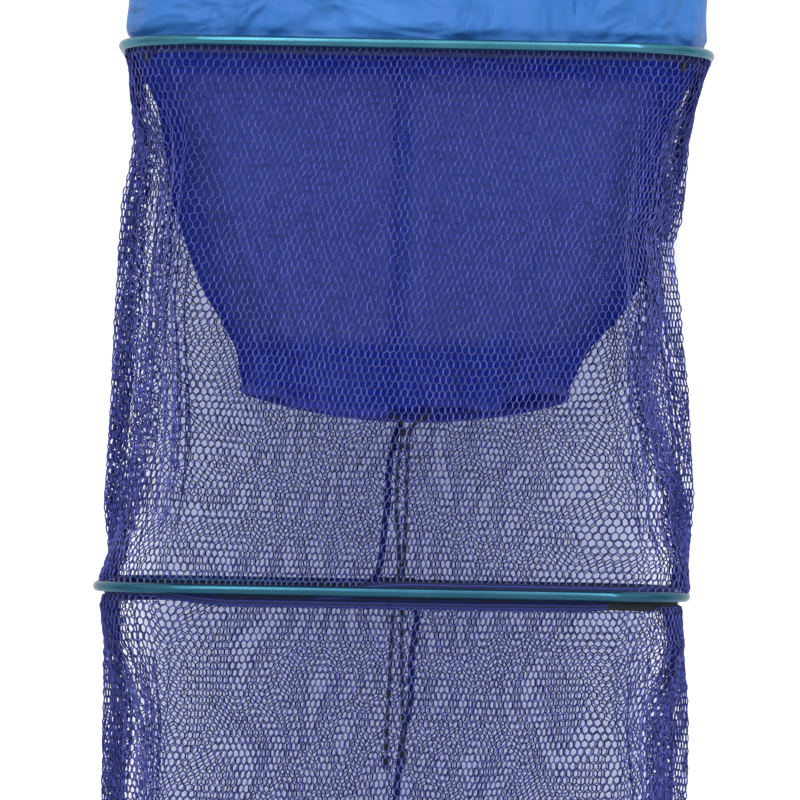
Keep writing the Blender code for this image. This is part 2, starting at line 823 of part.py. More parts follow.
def stud(frame, material):
    radius = STUD_DIAMETER / 2
    profile = [
        (0, STUD_INSIDE), (radius - STUD_CHAMFER, STUD_INSIDE), (radius, STUD_INSIDE - STUD_CHAMFER),
        (radius, -STUD_OUTSIDE + STUD_CHAMFER), (radius - STUD_CHAMFER, -STUD_OUTSIDE), (0, -STUD_OUTSIDE),
    ]
    add_piece("bank_stick_stud", turned(profile, STUD_SIDES), material, frame)


def lock_nut(frame, material):
    """A round nut with scalloped grips, on the stud below the boss."""
    steps = NUT_FLUTES * NUT_FLUTE_STEPS * 2
    corners = []
    for i in range(steps):
        turn = 2 * pi * i / steps
        dip = NUT_FLUTE * (1 - cos(NUT_FLUTES * turn)) / 2
        radius = NUT_DIAMETER / 2 - dip
        corners.append(Vector((radius * cos(turn), radius * sin(turn), 0)))
    bm = prism(corners, -NUT_DROP - NUT_HEIGHT, -NUT_DROP)
    nut = add_piece("lock_nut", bm, material, frame)
    bore = STUD_DIAMETER / 2 + NUT_CLEARANCE
    middle = Vector((0, 0, -NUT_DROP - NUT_HEIGHT / 2))
    cut_away(nut, rod(bore, NUT_HEIGHT + 2 * CUT_OVERRUN, STUD_SIDES, middle), "nut_bore")


# Assembly


def ring_place(number):
    """A ring's middle: ring 0 is the mouth ring."""
    if number == 0:
        return Vector((0, NET_AXIS_Y, MOUTH_HEIGHT))
    drop = COLLAR_DROP + BAY_DROP * (number - 1)
    return Vector((-RING_SWAY * SWAY_SHARES[number - 1], NET_AXIS_Y, MOUTH_HEIGHT - drop))


def build():
    clear_scene()
    anodised = make_material("anodised_tube", (0.085, 0.26, 0.36), 0.28, 0.9)
    webbing = make_material("black_webbing", (0.012, 0.014, 0.018), 0.8, 0)
    cloth = make_material("coated_cloth", (0.07, 0.22, 0.62), 0.45, 0)
    netting = make_material("blue_netting", (0.045, 0.06, 0.40), 0.6, 0)
    binding = make_material("blue_binding", (0.02, 0.04, 0.22), 0.7, 0)
    cord = make_material("black_cord", (0.008, 0.010, 0.016), 0.6, 0)
    moulding = make_material("black_moulding", (0.015, 0.016, 0.018), 0.5, 0)
    brass = make_material("brass", (0.55, 0.38, 0.14), 0.3, 1)

    mouth = make_frame("mouth_frame", ring_place(0))
    head = make_frame("boss_frame", Vector((0, 0, 0)))
    boss(head, moulding)
    stud(head, brass)
    lock_nut(head, moulding)
    for side, place in zip(("left", "right"), rivet_places()):
        rivet(f"rivet_{side}", place, mouth, brass)
    mouth_ring(mouth, anodised)
    collar_hem(mouth, cloth)
    collar_panel(mouth, cloth)

    for number in range(1, RING_COUNT + 1):
        frame = make_frame(f"ring_{number}_frame", ring_place(number))
        ring_tube(number, frame, anodised)
        ring_tape(number, frame, binding if number == 1 else webbing)
        ring_loops(number, frame, webbing)
        bound = 1 < number < RING_COUNT
        if bound:
            ring_binding(number, frame, binding)
        if number < RING_COUNT:
            below = ring_place(number + 1) - ring_place(number)
            band = BINDING_HEIGHT + SEAT_GAP if bound else 0
            top = -TAPE_FALL - band - SEAT_GAP
            low = below.z + TAPE_RISE + SEAT_GAP
            bay_net(number, top, low, below.x, frame, netting)
            bay_seam(number, top, low, below.x, frame, binding)
        if number == 1:
            throat_net(frame, netting)
            throat_hem(frame, binding)
            hem_cord(frame, cord)
            free_cord("drawcord_left", LEFT_CORD_ROUTE, -1, frame, cord)
            free_cord("drawcord_right", RIGHT_CORD_ROUTE, 1, frame, cord)
            cord_knot("cord_knot_left", LEFT_CORD_ROUTE, -1, frame, cord)
            cord_knot("cord_knot_right", RIGHT_CORD_ROUTE, 1, frame, cord)
        if number == RING_COUNT:
            net_floor(frame, netting)


build()
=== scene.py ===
"""The keep net of the photograph: teal tube rings, a blue cloth collar, hexagon net bays and a fine inner throat."""

from math import cos, pi, radians, sin

import bpy
import numpy as np
from mathutils import Matrix, Vector


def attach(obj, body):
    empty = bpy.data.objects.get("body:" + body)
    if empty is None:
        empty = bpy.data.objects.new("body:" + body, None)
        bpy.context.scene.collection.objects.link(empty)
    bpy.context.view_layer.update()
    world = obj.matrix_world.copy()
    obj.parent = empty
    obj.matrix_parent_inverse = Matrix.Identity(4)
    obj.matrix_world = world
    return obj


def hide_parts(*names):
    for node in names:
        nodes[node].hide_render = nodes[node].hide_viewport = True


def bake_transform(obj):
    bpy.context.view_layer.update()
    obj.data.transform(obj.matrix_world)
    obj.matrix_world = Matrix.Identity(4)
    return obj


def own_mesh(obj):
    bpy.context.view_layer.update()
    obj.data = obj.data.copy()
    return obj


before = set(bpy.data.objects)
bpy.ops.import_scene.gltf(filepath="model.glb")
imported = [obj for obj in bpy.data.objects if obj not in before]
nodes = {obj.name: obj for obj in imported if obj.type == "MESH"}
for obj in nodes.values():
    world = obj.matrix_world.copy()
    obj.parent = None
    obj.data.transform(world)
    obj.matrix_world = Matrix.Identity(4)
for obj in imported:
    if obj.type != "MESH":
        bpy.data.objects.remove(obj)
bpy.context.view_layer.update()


# Camera and studio: the net hangs in front of a wall and is lit from the front. Behind the net the wall is painted
# a soft grey-blue, a painted shadow of the net that shows through the mesh, and it is white beside it. To the camera
# alone the wall also glows, a painted light. Wall and floor can't be seen from behind, so that the net's back can be
# looked at.

NET_AXIS_Y = -0.170
camera_data = bpy.data.cameras.new("camera")
camera_data.sensor_width = 36
camera_data.lens = 198.9
camera = bpy.data.objects.new("camera", camera_data)
tilt_up, roll = radians(91.22), radians(1.07)
camera.location = (-0.0068, -3.226, -0.4481)
camera.rotation_euler = (Matrix.Rotation(tilt_up, 3, "X") @ Matrix.Rotation(roll, 3, "Z")).to_euler()
bpy.context.scene.collection.objects.link(camera)
bpy.context.scene.camera = camera
bpy.context.scene.view_settings.view_transform = "Standard"

world = bpy.data.worlds.new("studio_air")
world.use_nodes = True
air = world.node_tree
direction = air.nodes.new("ShaderNodeTexCoord")
height = air.nodes.new("ShaderNodeSeparateXYZ")
bands = air.nodes.new("ShaderNodeValToRGB")
air.links.new(direction.outputs["Generated"], height.inputs[0])

# The studio's light by height, from below to overhead: where, and how bright.
sky = ((0.20, 0.34), (0.485, 0.34), (0.56, 0.98), (0.66, 1.08), (0.74, 1.18), (0.84, 0.98), (1.0, 0.62))
lift = air.nodes.new("ShaderNodeMapRange")
lift.inputs["From Min"].default_value = -1
air.links.new(height.outputs["Z"], lift.inputs["Value"])
air.links.new(lift.outputs[0], bands.inputs[0])
for place, _ in sky[2:]:
    bands.color_ramp.elements.new(place)
for stop, (place, glow) in zip(bands.color_ramp.elements, sky):
    stop.position = place
    stop.color = (glow, glow, glow * 1.01, 1)
air.links.new(bands.outputs[0], air.nodes["Background"].inputs[0])
air.nodes["Background"].inputs[1].default_value = 0.80
bpy.context.scene.world = world


def stage_plane(name, size, location, tilt, colour):
    """A matt studio surface, seen and lit only from its front. Gives its shader back for further paint."""
    bpy.ops.object.select_all(action="DESELECT")
    bpy.ops.mesh.primitive_plane_add(size=size, location=location, rotation=(tilt, 0, 0))
    plane = bpy.context.object
    plane.name = name
    paint = bpy.data.materials.new(name)
    paint.use_nodes = True
    tree = paint.node_tree
    side = tree.nodes.new("ShaderNodeNewGeometry")
    clear = tree.nodes.new("ShaderNodeBsdfTransparent")
    pick = tree.nodes.new("ShaderNodeMixShader")
    matt = tree.nodes["Principled BSDF"]
    matt.inputs["Base Color"].default_value = (*colour, 1)
    matt.inputs["Roughness"].default_value = 0.95
    matt.inputs["Specular IOR Level"].default_value = 0.0
    tree.links.new(side.outputs["Backfacing"], pick.inputs[0])
    tree.links.new(matt.outputs[0], pick.inputs[1])
    tree.links.new(clear.outputs[0], pick.inputs[2])
    tree.links.new(pick.outputs[0], tree.nodes["Material Output"].inputs[0])
    plane.data.materials.append(paint)
    return tree


# The wall's white and the net's painted grey-blue shadow on it, and the glow that the camera alone sees in each:
# painted light, since the wall is no lamp.
WALL_WHITE, WALL_SHADOW_GREY = (0.93, 0.93, 0.92), (0.58, 0.61, 0.70)
WALL_WHITE_GLOW, WALL_SHADOW_GLOW = (0.45, 0.45, 0.45), (0.135, 0.152, 0.235)
wall = stage_plane("studio_wall", 7, (0, 0.035, 2.20), radians(90), WALL_WHITE)
stage_plane("studio_floor", 14, (0, -2.0, -1.30), 0, (0.80, 0.80, 0.80))

# Where the white ends, the painted grey shadow of the net begins and ends, and the white begins again, as shares of the
# way across a stretch of the wall that reaches this far to the left and right of its middle.
WALL_ZONES, WALL_REACH = (0.075, 0.15, 0.84, 0.905), 0.25
across = wall.nodes.new("ShaderNodeSeparateXYZ")
span = wall.nodes.new("ShaderNodeMapRange")
span.inputs["From Min"].default_value, span.inputs["From Max"].default_value = -WALL_REACH, WALL_REACH
wall.links.new(wall.nodes.new("ShaderNodeTexCoord").outputs["Object"], across.inputs[0])
wall.links.new(across.outputs["X"], span.inputs["Value"])
seen = wall.nodes.new("ShaderNodeLightPath")
for socket, white, grey in (
    ("Base Color", WALL_WHITE, WALL_SHADOW_GREY), ("Emission Color", WALL_WHITE_GLOW, WALL_SHADOW_GLOW)
):
    zone = wall.nodes.new("ShaderNodeValToRGB")
    for place in (0.5, 0.6):
        zone.color_ramp.elements.new(place)
    for stop, place, shade in zip(zone.color_ramp.elements, WALL_ZONES, (white, grey, grey, white)):
        stop.position, stop.color = place, (*shade, 1)
    wall.links.new(span.outputs[0], zone.inputs[0])
    wall.links.new(zone.outputs[0], wall.nodes["Principled BSDF"].inputs[socket])
# The wall glows for camera rays only, a painted light that is weaker in the painted shadow.
wall.links.new(seen.outputs["Is Camera Ray"], wall.nodes["Principled BSDF"].inputs["Emission Strength"])


def lamp(name, kind, location, aim, power, size):
    """A studio light aimed at a point: a sun of so many degrees, or a panel of this width and height."""
    data = bpy.data.lights.new(name, kind)
    data.energy = power
    if kind == "AREA":
        data.shape = "RECTANGLE"
        data.size, data.size_y = size
    else:
        data.angle = radians(size)
    light = bpy.data.objects.new(name, data)
    light.location = location
    light.rotation_euler = (Vector(aim) - Vector(location)).to_track_quat("-Z", "Y").to_euler()
    bpy.context.scene.collection.objects.link(light)


lamp("key_light", "SUN", (0.10, -3.2, 1.75), (0, NET_AXIS_Y, -0.45), 0.75, 110)
lamp("strip_left", "AREA", (-0.285, -3.1, 2.0), (0, NET_AXIS_Y, -0.35), 19, (0.14, 4.5))
lamp("strip_right", "AREA", (0.55, -3.05, 2.0), (0, NET_AXIS_Y, -0.35), 24, (0.34, 4.5))
lamp("back_light", "AREA", (0.8, 3.0, 0.8), (0, NET_AXIS_Y, -0.5), 22, (1.6, 1.6))


# Boss, stud, rivets and lock nut: a moulded nylon block holds the ends of the mouth ring with two brass
# rivets. A threaded brass stud moulded into it screws into a bank stick, and the round nut locks it.


def finish(name, colour, roughness, metallic=0.0, **sockets):
    """A plain surface, whose even values are set on its own sockets."""
    made = bpy.data.materials.new(name)
    made.use_nodes = True
    shader = made.node_tree.nodes["Principled BSDF"]
    shader.inputs["Base Color"].default_value = (*colour, 1)
    shader.inputs["Roughness"].default_value = roughness
    shader.inputs["Metallic"].default_value = metallic
    for socket, value in sockets.items():
        shader.inputs[socket.replace("_", " ")].default_value = value
    return made


def texture(made, kind, scale, uv=False, stretch=(1, 1, 1), **values):
    """A texture node fed from the object's own coordinates, or from a sewn piece's own length and height."""
    tree = made.node_tree
    source = tree.nodes.new("ShaderNodeTexCoord")
    fit = tree.nodes.new("ShaderNodeMapping")
    fit.inputs["Scale"].default_value = stretch
    tree.links.new(source.outputs["UV" if uv else "Object"], fit.inputs[0])
    node = tree.nodes.new(kind)
    tree.links.new(fit.outputs[0], node.inputs["Vector"])
    node.inputs["Scale"].default_value = scale
    for socket, value in values.items():
        node.inputs[socket.replace("_", " ")].default_value = value
    return node


def tint(made, source, dark, light, low=0.3, high=0.7):
    """Colours the surface from one tone to another by a texture."""
    tree = made.node_tree
    ramp = tree.nodes.new("ShaderNodeValToRGB")
    ramp.color_ramp.elements[0].position, ramp.color_ramp.elements[1].position = low, high
    ramp.color_ramp.elements[0].color, ramp.color_ramp.elements[1].color = (*dark, 1), (*light, 1)
    tree.links.new(source, ramp.inputs[0])
    tree.links.new(ramp.outputs[0], tree.nodes["Principled BSDF"].inputs["Base Color"])


def grain(made, source, depth, strength=1.0):
    """Raises the surface by a texture, to this depth in metres."""
    tree = made.node_tree
    bump = tree.nodes.new("ShaderNodeBump")
    bump.inputs["Distance"].default_value = depth
    bump.inputs["Strength"].default_value = strength
    tree.links.new(source, bump.inputs["Height"])
    below = tree.nodes["Principled BSDF"].inputs["Normal"]
    if below.links:
        tree.links.new(below.links[0].from_socket, bump.inputs["Normal"])
    tree.links.new(bump.outputs[0], below)


moulding = finish("black_moulding", (0.015, 0.016, 0.018), 0.48)
spark = texture(moulding, "ShaderNodeTexNoise", 900, Detail=3)
tint(moulding, spark.outputs[0], (0.011, 0.012, 0.014), (0.022, 0.023, 0.026))
grain(moulding, spark.outputs[0], 0.00012, 0.5)

brass = finish("turned_brass", (0.62, 0.42, 0.16), 0.24, 1.0)
turning = texture(brass, "ShaderNodeTexNoise", 320, stretch=(1, 1, 9), Detail=4)
tint(brass, turning.outputs[0], (0.50, 0.33, 0.12), (0.70, 0.49, 0.20))
grain(brass, turning.outputs[0], 0.00006, 0.5)

for name, made in (("mouth_boss", moulding), ("lock_nut", moulding), ("rivet_left", brass), ("rivet_right", brass)):
    nodes[name].data.materials.clear()
    nodes[name].data.materials.append(made)


def new_piece(name, points, faces, made, uv=None):
    """A smooth object from numpy points and faces, all triangles or all quads."""
    mesh = bpy.data.meshes.new(name)
    points, faces = np.asarray(points, np.float32), np.asarray(faces, np.int32)
    count, corners = faces.shape
    mesh.vertices.add(len(points))
    mesh.vertices.foreach_set("co", points.ravel())
    mesh.loops.add(count * corners)
    mesh.loops.foreach_set("vertex_index", faces.ravel())
    mesh.polygons.add(count)
    mesh.polygons.foreach_set("loop_start", np.arange(0, count * corners, corners, dtype=np.int32))
    mesh.polygons.foreach_set("loop_total", np.full(count, corners, np.int32))
    mesh.polygons.foreach_set("use_smooth", np.full(count, True))
    if uv is not None:
        layer = mesh.uv_layers.new(name="length")
        layer.data.foreach_set("uv", np.asarray(uv, np.float32)[faces.ravel()].ravel())
    mesh.update(calc_edges=True)
    mesh.validate()
    mesh.materials.append(made)
    piece = bpy.data.objects.new(name, mesh)
    bpy.context.scene.collection.objects.link(piece)
    return piece


def woven_grid(rows, columns, round_it=False):
    """The quads of a sheet of this many rows and columns of points, joined round if asked."""
    across = columns if round_it else columns - 1
    row, column = np.meshgrid(np.arange(rows - 1), np.arange(across), indexing="ij")
    here = row * columns + column
    beside = row * columns + (column + 1) % columns
    return np.stack((here, beside, beside + columns, here + columns), -1).reshape(-1, 4)


STUD_TOP, STUD_FOOT, STUD_RADIUS = 0.0118, -0.0218, 0.00474
THREAD_PITCH, THREAD_DEPTH, THREAD_TOP = 0.0016, 0.0009, -0.0004
STUD_ROWS, STUD_SIDES = 170, 32
stud_heights = np.linspace(STUD_TOP, STUD_FOOT, STUD_ROWS)
stud_turns = np.linspace(0, 2 * pi, STUD_SIDES, endpoint=False)
stud_z, stud_turn = np.meshgrid(stud_heights, stud_turns, indexing="ij")
wind = (stud_z / THREAD_PITCH + stud_turn / (2 * pi)) % 1
run_out = np.clip((stud_z - STUD_FOOT) / 0.0008, 0.3, 1)
cut = np.abs(wind * 2 - 1) * THREAD_DEPTH * run_out * (stud_z < THREAD_TOP)
point_in = np.clip(1 - (stud_z - STUD_FOOT) / 0.0012, 0, 1) * 0.0010
stud_r = STUD_RADIUS - cut - point_in
stud_points = np.stack((stud_r * np.cos(stud_turn), stud_r * np.sin(stud_turn), stud_z), -1).reshape(-1, 3)
stud_points = np.vstack((stud_points, [[0, 0, STUD_TOP], [0, 0, STUD_FOOT]]))
stud_quads = woven_grid(STUD_ROWS, STUD_SIDES, True)
fan = np.arange(STUD_SIDES)
beside_fan, last_row = (fan + 1) % STUD_SIDES, (STUD_ROWS - 1) * STUD_SIDES
top_point, foot_point = np.full(STUD_SIDES, STUD_ROWS * STUD_SIDES), np.full(STUD_SIDES, STUD_ROWS * STUD_SIDES + 1)
stud_triangles = np.vstack((
    stud_quads[:, [0, 2, 1]], stud_quads[:, [0, 3, 2]],
    np.stack((fan, beside_fan, top_point), -1), np.stack((last_row + fan, foot_point, last_row + beside_fan), -1),
))
stud = new_piece("stud_thread", stud_points, stud_triangles, brass)
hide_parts("bank_stick_stud")
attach(stud, "mouth")


# Rings: aluminium tube, 7 mm across, bent to a rounded oblong and anodised teal. The three lower rings take a darker
# copy of the finish, painted shade. The mouth ring is open at the back, where its ends sit in the boss, and the others
# are closed.

TUBE_RADIUS = 0.0035
MOUTH_OPENING = 0.0166
HALF_WIDTH, HALF_DEPTH, CORNER = 0.1965, 0.1465, 0.0525

# Where each ring's middle lies, from the mouth ring down: its x and its height.
RING_PLACES = ((0, 0.009), (0, -0.151), (-0.010, -0.513), (-0.010, -0.875), (-0.010, -1.237))

anodised = finish("teal_anodised_tube", (0.045, 0.19, 0.265), 0.17, 0.82)
cloudy = texture(anodised, "ShaderNodeTexNoise", 26, Detail=4)
tint(anodised, cloudy.outputs[0], (0.036, 0.165, 0.235), (0.054, 0.215, 0.295))
drawn = texture(anodised, "ShaderNodeTexNoise", 700, Detail=2)
grain(anodised, drawn.outputs[0], 0.00003, 0.35)
# The lower rings' darker copy of the finish is painted shade: the tube is the same, and they only reflect less of the
# lamps.
shaded_anodised = anodised.copy()
shaded_anodised.name = "teal_anodised_tube_shaded"
shaded_tones = shaded_anodised.node_tree.nodes["Color Ramp"].color_ramp.elements
shaded_tones[0].color, shaded_tones[1].color = (0.018, 0.095, 0.155, 1), (0.030, 0.128, 0.196, 1)


def round_length(wide, deep, corner):
    """The distance round a rounded oblong."""
    return 4 * (wide - corner) + 4 * (deep - corner) + 2 * pi * corner


def oblong(along, wide, deep, corner):
    """Points (x, y) and outward directions on a rounded oblong, by distance from its front's middle to the right."""
    half = round_length(wide, deep, corner) / 2
    along = (np.asarray(along, float) + half) % (2 * half) - half
    hand, gone = np.sign(along), np.abs(along)
    straight, bend = wide - corner, pi / 2 * corner
    first, second = straight + bend, straight + bend + 2 * (deep - corner)
    legs = [gone < straight, gone < first, gone < second, gone < second + bend]
    front, back = (gone - straight) / corner, (gone - second) / corner
    none = np.zeros_like(gone)
    x = np.select(
        legs, [gone, straight + corner * np.sin(front), wide + none, straight + corner * np.cos(back)],
        straight - (gone - second - bend),
    )
    y = np.select(
        legs, [none - deep, corner - deep - corner * np.cos(front), gone - first - deep + corner,
               deep - corner + corner * np.sin(back)],
        deep + none,
    )
    out_x = np.select(legs, [none, np.sin(front), none + 1, np.cos(back)], none)
    out_y = np.select(legs, [none - 1, -np.cos(front), none, np.sin(back)], none + 1)
    return hand * x, y, hand * out_x, out_y


def bent_tube(name, x, z, made, opening=0.0):
    """A tube from a flat plate's rim: its corners are rounded, and it becomes a curve with the tube's thickness."""
    bpy.ops.object.select_all(action="DESELECT")
    bpy.ops.mesh.primitive_plane_add(size=2, location=(x, NET_AXIS_Y, z))
    ring = bpy.context.object
    ring.name = name
    ring.scale = (HALF_WIDTH, HALF_DEPTH, 1)
    bpy.ops.object.transform_apply(location=False, scale=True)
    bpy.ops.object.mode_set(mode="EDIT")
    bpy.ops.mesh.select_all(action="SELECT")
    bpy.ops.mesh.bevel(offset=CORNER, segments=16, affect="VERTICES", profile=0.5)
    bpy.ops.mesh.delete(type="ONLY_FACE")
    bpy.ops.mesh.select_all(action="DESELECT")
    bpy.ops.object.mode_set(mode="OBJECT")

    # The four straight sides, the only long edges, are each cut into 13 lengths.
    for edge in ring.data.edges:
        ends = [ring.data.vertices[i].co for i in edge.vertices]
        edge.select = (ends[0] - ends[1]).length > CORNER
    bpy.ops.object.mode_set(mode="EDIT")
    bpy.ops.mesh.select_mode(type="EDGE")
    bpy.ops.mesh.subdivide(number_cuts=12)
    bpy.ops.mesh.select_mode(type="VERT")

    # The mouth ring's line is cut on both sides of its middle, and what lies between is taken out at the back.
    if opening:
        for side in (-1, 1):
            bpy.ops.mesh.select_all(action="SELECT")
            bpy.ops.mesh.bisect(plane_co=(x + side * opening / 2, NET_AXIS_Y, z), plane_no=(1, 0, 0))
        bpy.ops.mesh.select_all(action="DESELECT")
        bpy.ops.object.mode_set(mode="OBJECT")
        for edge in ring.data.edges:
            ends = [ring.data.vertices[i].co for i in edge.vertices]
            edge.select = all(abs(end.x) <= opening / 2 + 1e-5 and end.y > 0 for end in ends)
        bpy.ops.object.mode_set(mode="EDIT")
        bpy.ops.mesh.select_mode(type="EDGE")
        bpy.ops.mesh.delete(type="EDGE")
    bpy.ops.object.mode_set(mode="OBJECT")

    bpy.ops.object.convert(target="CURVE")
    ring.data.bevel_depth = TUBE_RADIUS
    ring.data.bevel_resolution = 6
    ring.data.use_fill_caps = True
    bpy.ops.object.convert(target="MESH")
    bpy.ops.object.shade_smooth_by_angle(angle=radians(40))
    bpy.context.object.data.materials.clear()
    bpy.context.object.data.materials.append(made)
    return bpy.context.object


for number, (ring_x, ring_z) in enumerate(RING_PLACES):
    if number == 0:
        tube = bent_tube("mouth_ring_tube", ring_x, ring_z, anodised, opening=MOUTH_OPENING)
        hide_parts("mouth_ring")
        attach(tube, "mouth")
    else:
        tube = bent_tube(f"ring_{number}_bent_tube", ring_x, ring_z, anodised if number == 1 else shaded_anodised)
        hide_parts(f"ring_{number}_tube")
        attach(tube, f"ring_{number}")


# Collar: coated nylon cloth, cut as one band, hemmed round the mouth ring and sewn to the first ring's
# tape. The coating gives it a slight gloss, and it hangs in soft slanting folds gathered at the ring.

COLLAR_TOP, COLLAR_FOOT = RING_PLACES[0][1] - 0.0062, RING_PLACES[1][1] + 0.0030

# How far inside the tube's middle line the tape hangs, where the collar's foot is sewn on.
TAPE_LINE = 0.0054

coated = finish("coated_blue_cloth", (0.040, 0.185, 0.56), 0.42, Specular_IOR_Level=0.25)
clouds = texture(coated, "ShaderNodeTexNoise", 9, Detail=3)
tint(coated, clouds.outputs[0], (0.030, 0.160, 0.51), (0.052, 0.215, 0.61))
weave = texture(coated, "ShaderNodeTexBrick", 1, uv=True, Brick_Width=0.0011, Row_Height=0.0007, Mortar_Size=0.0001)
grain(coated, weave.outputs["Fac"], 0.00006, 0.35)
creases = texture(coated, "ShaderNodeTexNoise", 30, stretch=(1, 1, 0.45), Detail=4, Distortion=1.2)
grain(coated, creases.outputs[0], 0.006, 0.7)
slack = texture(coated, "ShaderNodeTexNoise", 11, stretch=(1, 1, 1.6), Detail=2, Distortion=1.6)
grain(coated, slack.outputs[0], 0.034, 0.8)

# The cloth's inner face is painted a deeper blue: painted shade inside the collar.
inner_face_shade = coated.node_tree.nodes.new("ShaderNodeMix")
inner_face_shade.data_type = "RGBA"
inner_face_shade.inputs["B"].default_value = (0.002, 0.026, 0.40, 1)
turned = coated.node_tree.nodes.new("ShaderNodeNewGeometry")
shader = coated.node_tree.nodes["Principled BSDF"]
coated.node_tree.links.new(turned.outputs["Backfacing"], inner_face_shade.inputs["Factor"])
coated.node_tree.links.new(shader.inputs["Base Color"].links[0].from_socket, inner_face_shade.inputs["A"])
coated.node_tree.links.new(inner_face_shade.outputs["Result"], shader.inputs["Base Color"])


def smooth_step(value):
    """An even rise from 0 to 1 as the value goes from 0 to 1."""
    value = np.clip(value, 0, 1)
    return value * value * (3 - 2 * value)


ring_round = round_length(HALF_WIDTH, HALF_DEPTH, CORNER)


def collar_surface(along, part):
    """The collar's place: part 0 is at the hem round the mouth ring, and 1 at the first ring's tape."""
    x, y, out_x, out_y = oblong(along, HALF_WIDTH, HALF_DEPTH, CORNER)
    turn = 2 * pi * along / ring_round
    inward = 0.0008 + (TAPE_LINE - 0.0016) * smooth_step((part - 0.945) / 0.045)
    loose = np.sin(pi * np.clip(part, 0, 1)) ** 0.7
    folds = 0.0024 * np.sin(5 * turn + 5.2 * part + 0.6) + 0.0017 * np.sin(11 * turn - 7.5 * part + 1.7)
    folds += 0.0008 * np.sin(23 * turn + 11.0 * part + 0.4)
    gathers = 0.0007 * np.sin(47 * turn + 2.6 * np.sin(3 * turn)) * smooth_step((part - 0.70) / 0.25)
    gathers *= 1 - smooth_step((part - 0.955) / 0.04)
    inward = inward + 0.0026 * loose - folds * loose - gathers
    height = COLLAR_TOP + (COLLAR_FOOT - COLLAR_TOP) * part
    return np.stack((x - out_x * inward, NET_AXIS_Y + y - out_y * inward, height), -1)


COLLAR_ROWS, COLLAR_COLUMNS = 70, 640
collar_along, collar_part = np.meshgrid(
    np.linspace(0, ring_round, COLLAR_COLUMNS, endpoint=False), np.linspace(0, 1, COLLAR_ROWS)
)
collar_points = collar_surface(collar_along, collar_part).reshape(-1, 3)
collar_uv = np.stack((collar_along, collar_part * 0.151), -1).reshape(-1, 2)
collar_faces = woven_grid(COLLAR_ROWS, COLLAR_COLUMNS, True)[:, ::-1]
collar = new_piece("collar", collar_points, collar_faces, coated, collar_uv)
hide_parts("collar_panel")
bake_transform(collar)


def swept_band(name, path, x, z, made, start=0.0, stop=None, steps=420, shift=None):
    """Carries a path of (out, up) points round the ring's line, from start to stop or all the way round."""
    closed = stop is None
    along = np.linspace(start, ring_round if closed else stop, steps, endpoint=not closed)
    line_x, line_y, out_x, out_y = oblong(along, HALF_WIDTH, HALF_DEPTH, CORNER)
    path = np.asarray(path, float)
    out, up = (0, 0) if shift is None else shift(path, line_x, line_y, along)
    out, up = out + path[:, :1], up + path[:, 1:]
    points = np.stack((x + line_x + out * out_x, NET_AXIS_Y + line_y + out * out_y, z + up + 0 * out_x), -1)
    run = np.concatenate(([0], np.cumsum(np.hypot(*np.diff(path, axis=0).T))))
    uv = np.stack(np.meshgrid(along, run), -1)
    return new_piece(name, points.reshape(-1, 3), woven_grid(len(path), steps, closed), made, uv.reshape(-1, 2))


def rounded(middle, radius, first, last, steps):
    """Points on an arc of (out, up), with angles in degrees."""
    turns = np.radians(np.linspace(first, last, steps))
    return [(middle[0] + radius * cos(turn), middle[1] + radius * sin(turn)) for turn in turns]


def thickened(piece, thickness, offset):
    """Gives cloth or webbing its thickness: behind its faces at offset -1, and half to each side at 0."""
    layer = piece.modifiers.new("thickness", "SOLIDIFY")
    layer.thickness, layer.offset = thickness, offset
    bpy.ops.object.select_all(action="DESELECT")
    bpy.context.view_layer.objects.active = piece
    piece.select_set(True)
    bpy.ops.object.modifier_apply(modifier=layer.name)


# The hem runs round the mouth ring from one side of the boss to the other.
hem_end = ring_round / 2 - 0.0236
hem_path = [(0.0008, -0.0098), (0.0011, -0.0060)]
hem_path += rounded((0, 0), 0.00435, -72, 252, 20)
hem_path += [(-0.0011, -0.0060), (-0.0008, -0.0098)]
hem = swept_band(
    "collar_hem_cloth", hem_path, *RING_PLACES[0], coated, start=-hem_end, stop=hem_end, steps=520,
    shift=lambda path, x, y, along: (0, 0.00035 * np.sin(along * 900)[None, :] * (path[:, 1:] < -0.005)),
)
thickened(hem, 0.0005, -1)
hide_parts("collar_hem")
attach(hem, "mouth")


# Tape and webbing: woven tape is sewn round the net inside each ring, dark blue at the first ring and black at
# the others. Three loops of black webbing are folded round each tube and stitched to its tape, so that the ring
# hangs from it, and two short tabs of webbing are sewn to the first ring's tape at its front corners.


def woven_tape(name, colour, roughness, dark, light):
    """Ribbed nylon tape, with its ribs across its length."""
    made = finish(name, colour, roughness)
    ribs = texture(made, "ShaderNodeTexWave", 500, uv=True, Distortion=1.2, Detail=1)
    tint(made, ribs.outputs["Fac"], dark, light, 0.2, 0.9)
    grain(made, ribs.outputs["Fac"], 0.0002, 0.6)
    return made


webbing = woven_tape("black_webbing", (0.010, 0.014, 0.022), 0.75, (0.006, 0.009, 0.016), (0.018, 0.024, 0.036))
navy_tape = woven_tape("navy_collar_tape", (0.012, 0.020, 0.115), 0.7, (0.009, 0.015, 0.085), (0.016, 0.028, 0.150))

# From left to right, in millimetres: how far the tape is lifted, and how far its foot is drawn up besides. The
# foot is what lies below TAPE_FOOT in the tape's own path.
TAPE_LIFT = (
    (-0.19, -0.165, -0.13, -0.10, 0.09, 0.13, 0.17, 0.19), (0.5, 0.5, 0.5, 0.3, -0.6, -0.8, -1.8, -1.0)
)
TAPE_SLIM = ((-0.19, -0.165, -0.14, -0.11), (4.2, 4.0, 2.2, 0))
TAPE_FOOT = -0.004


def at_front(y):
    """1 along the ring's front, and 0 from its sides to its back."""
    return smooth_step((-y - 0.05) / 0.08)


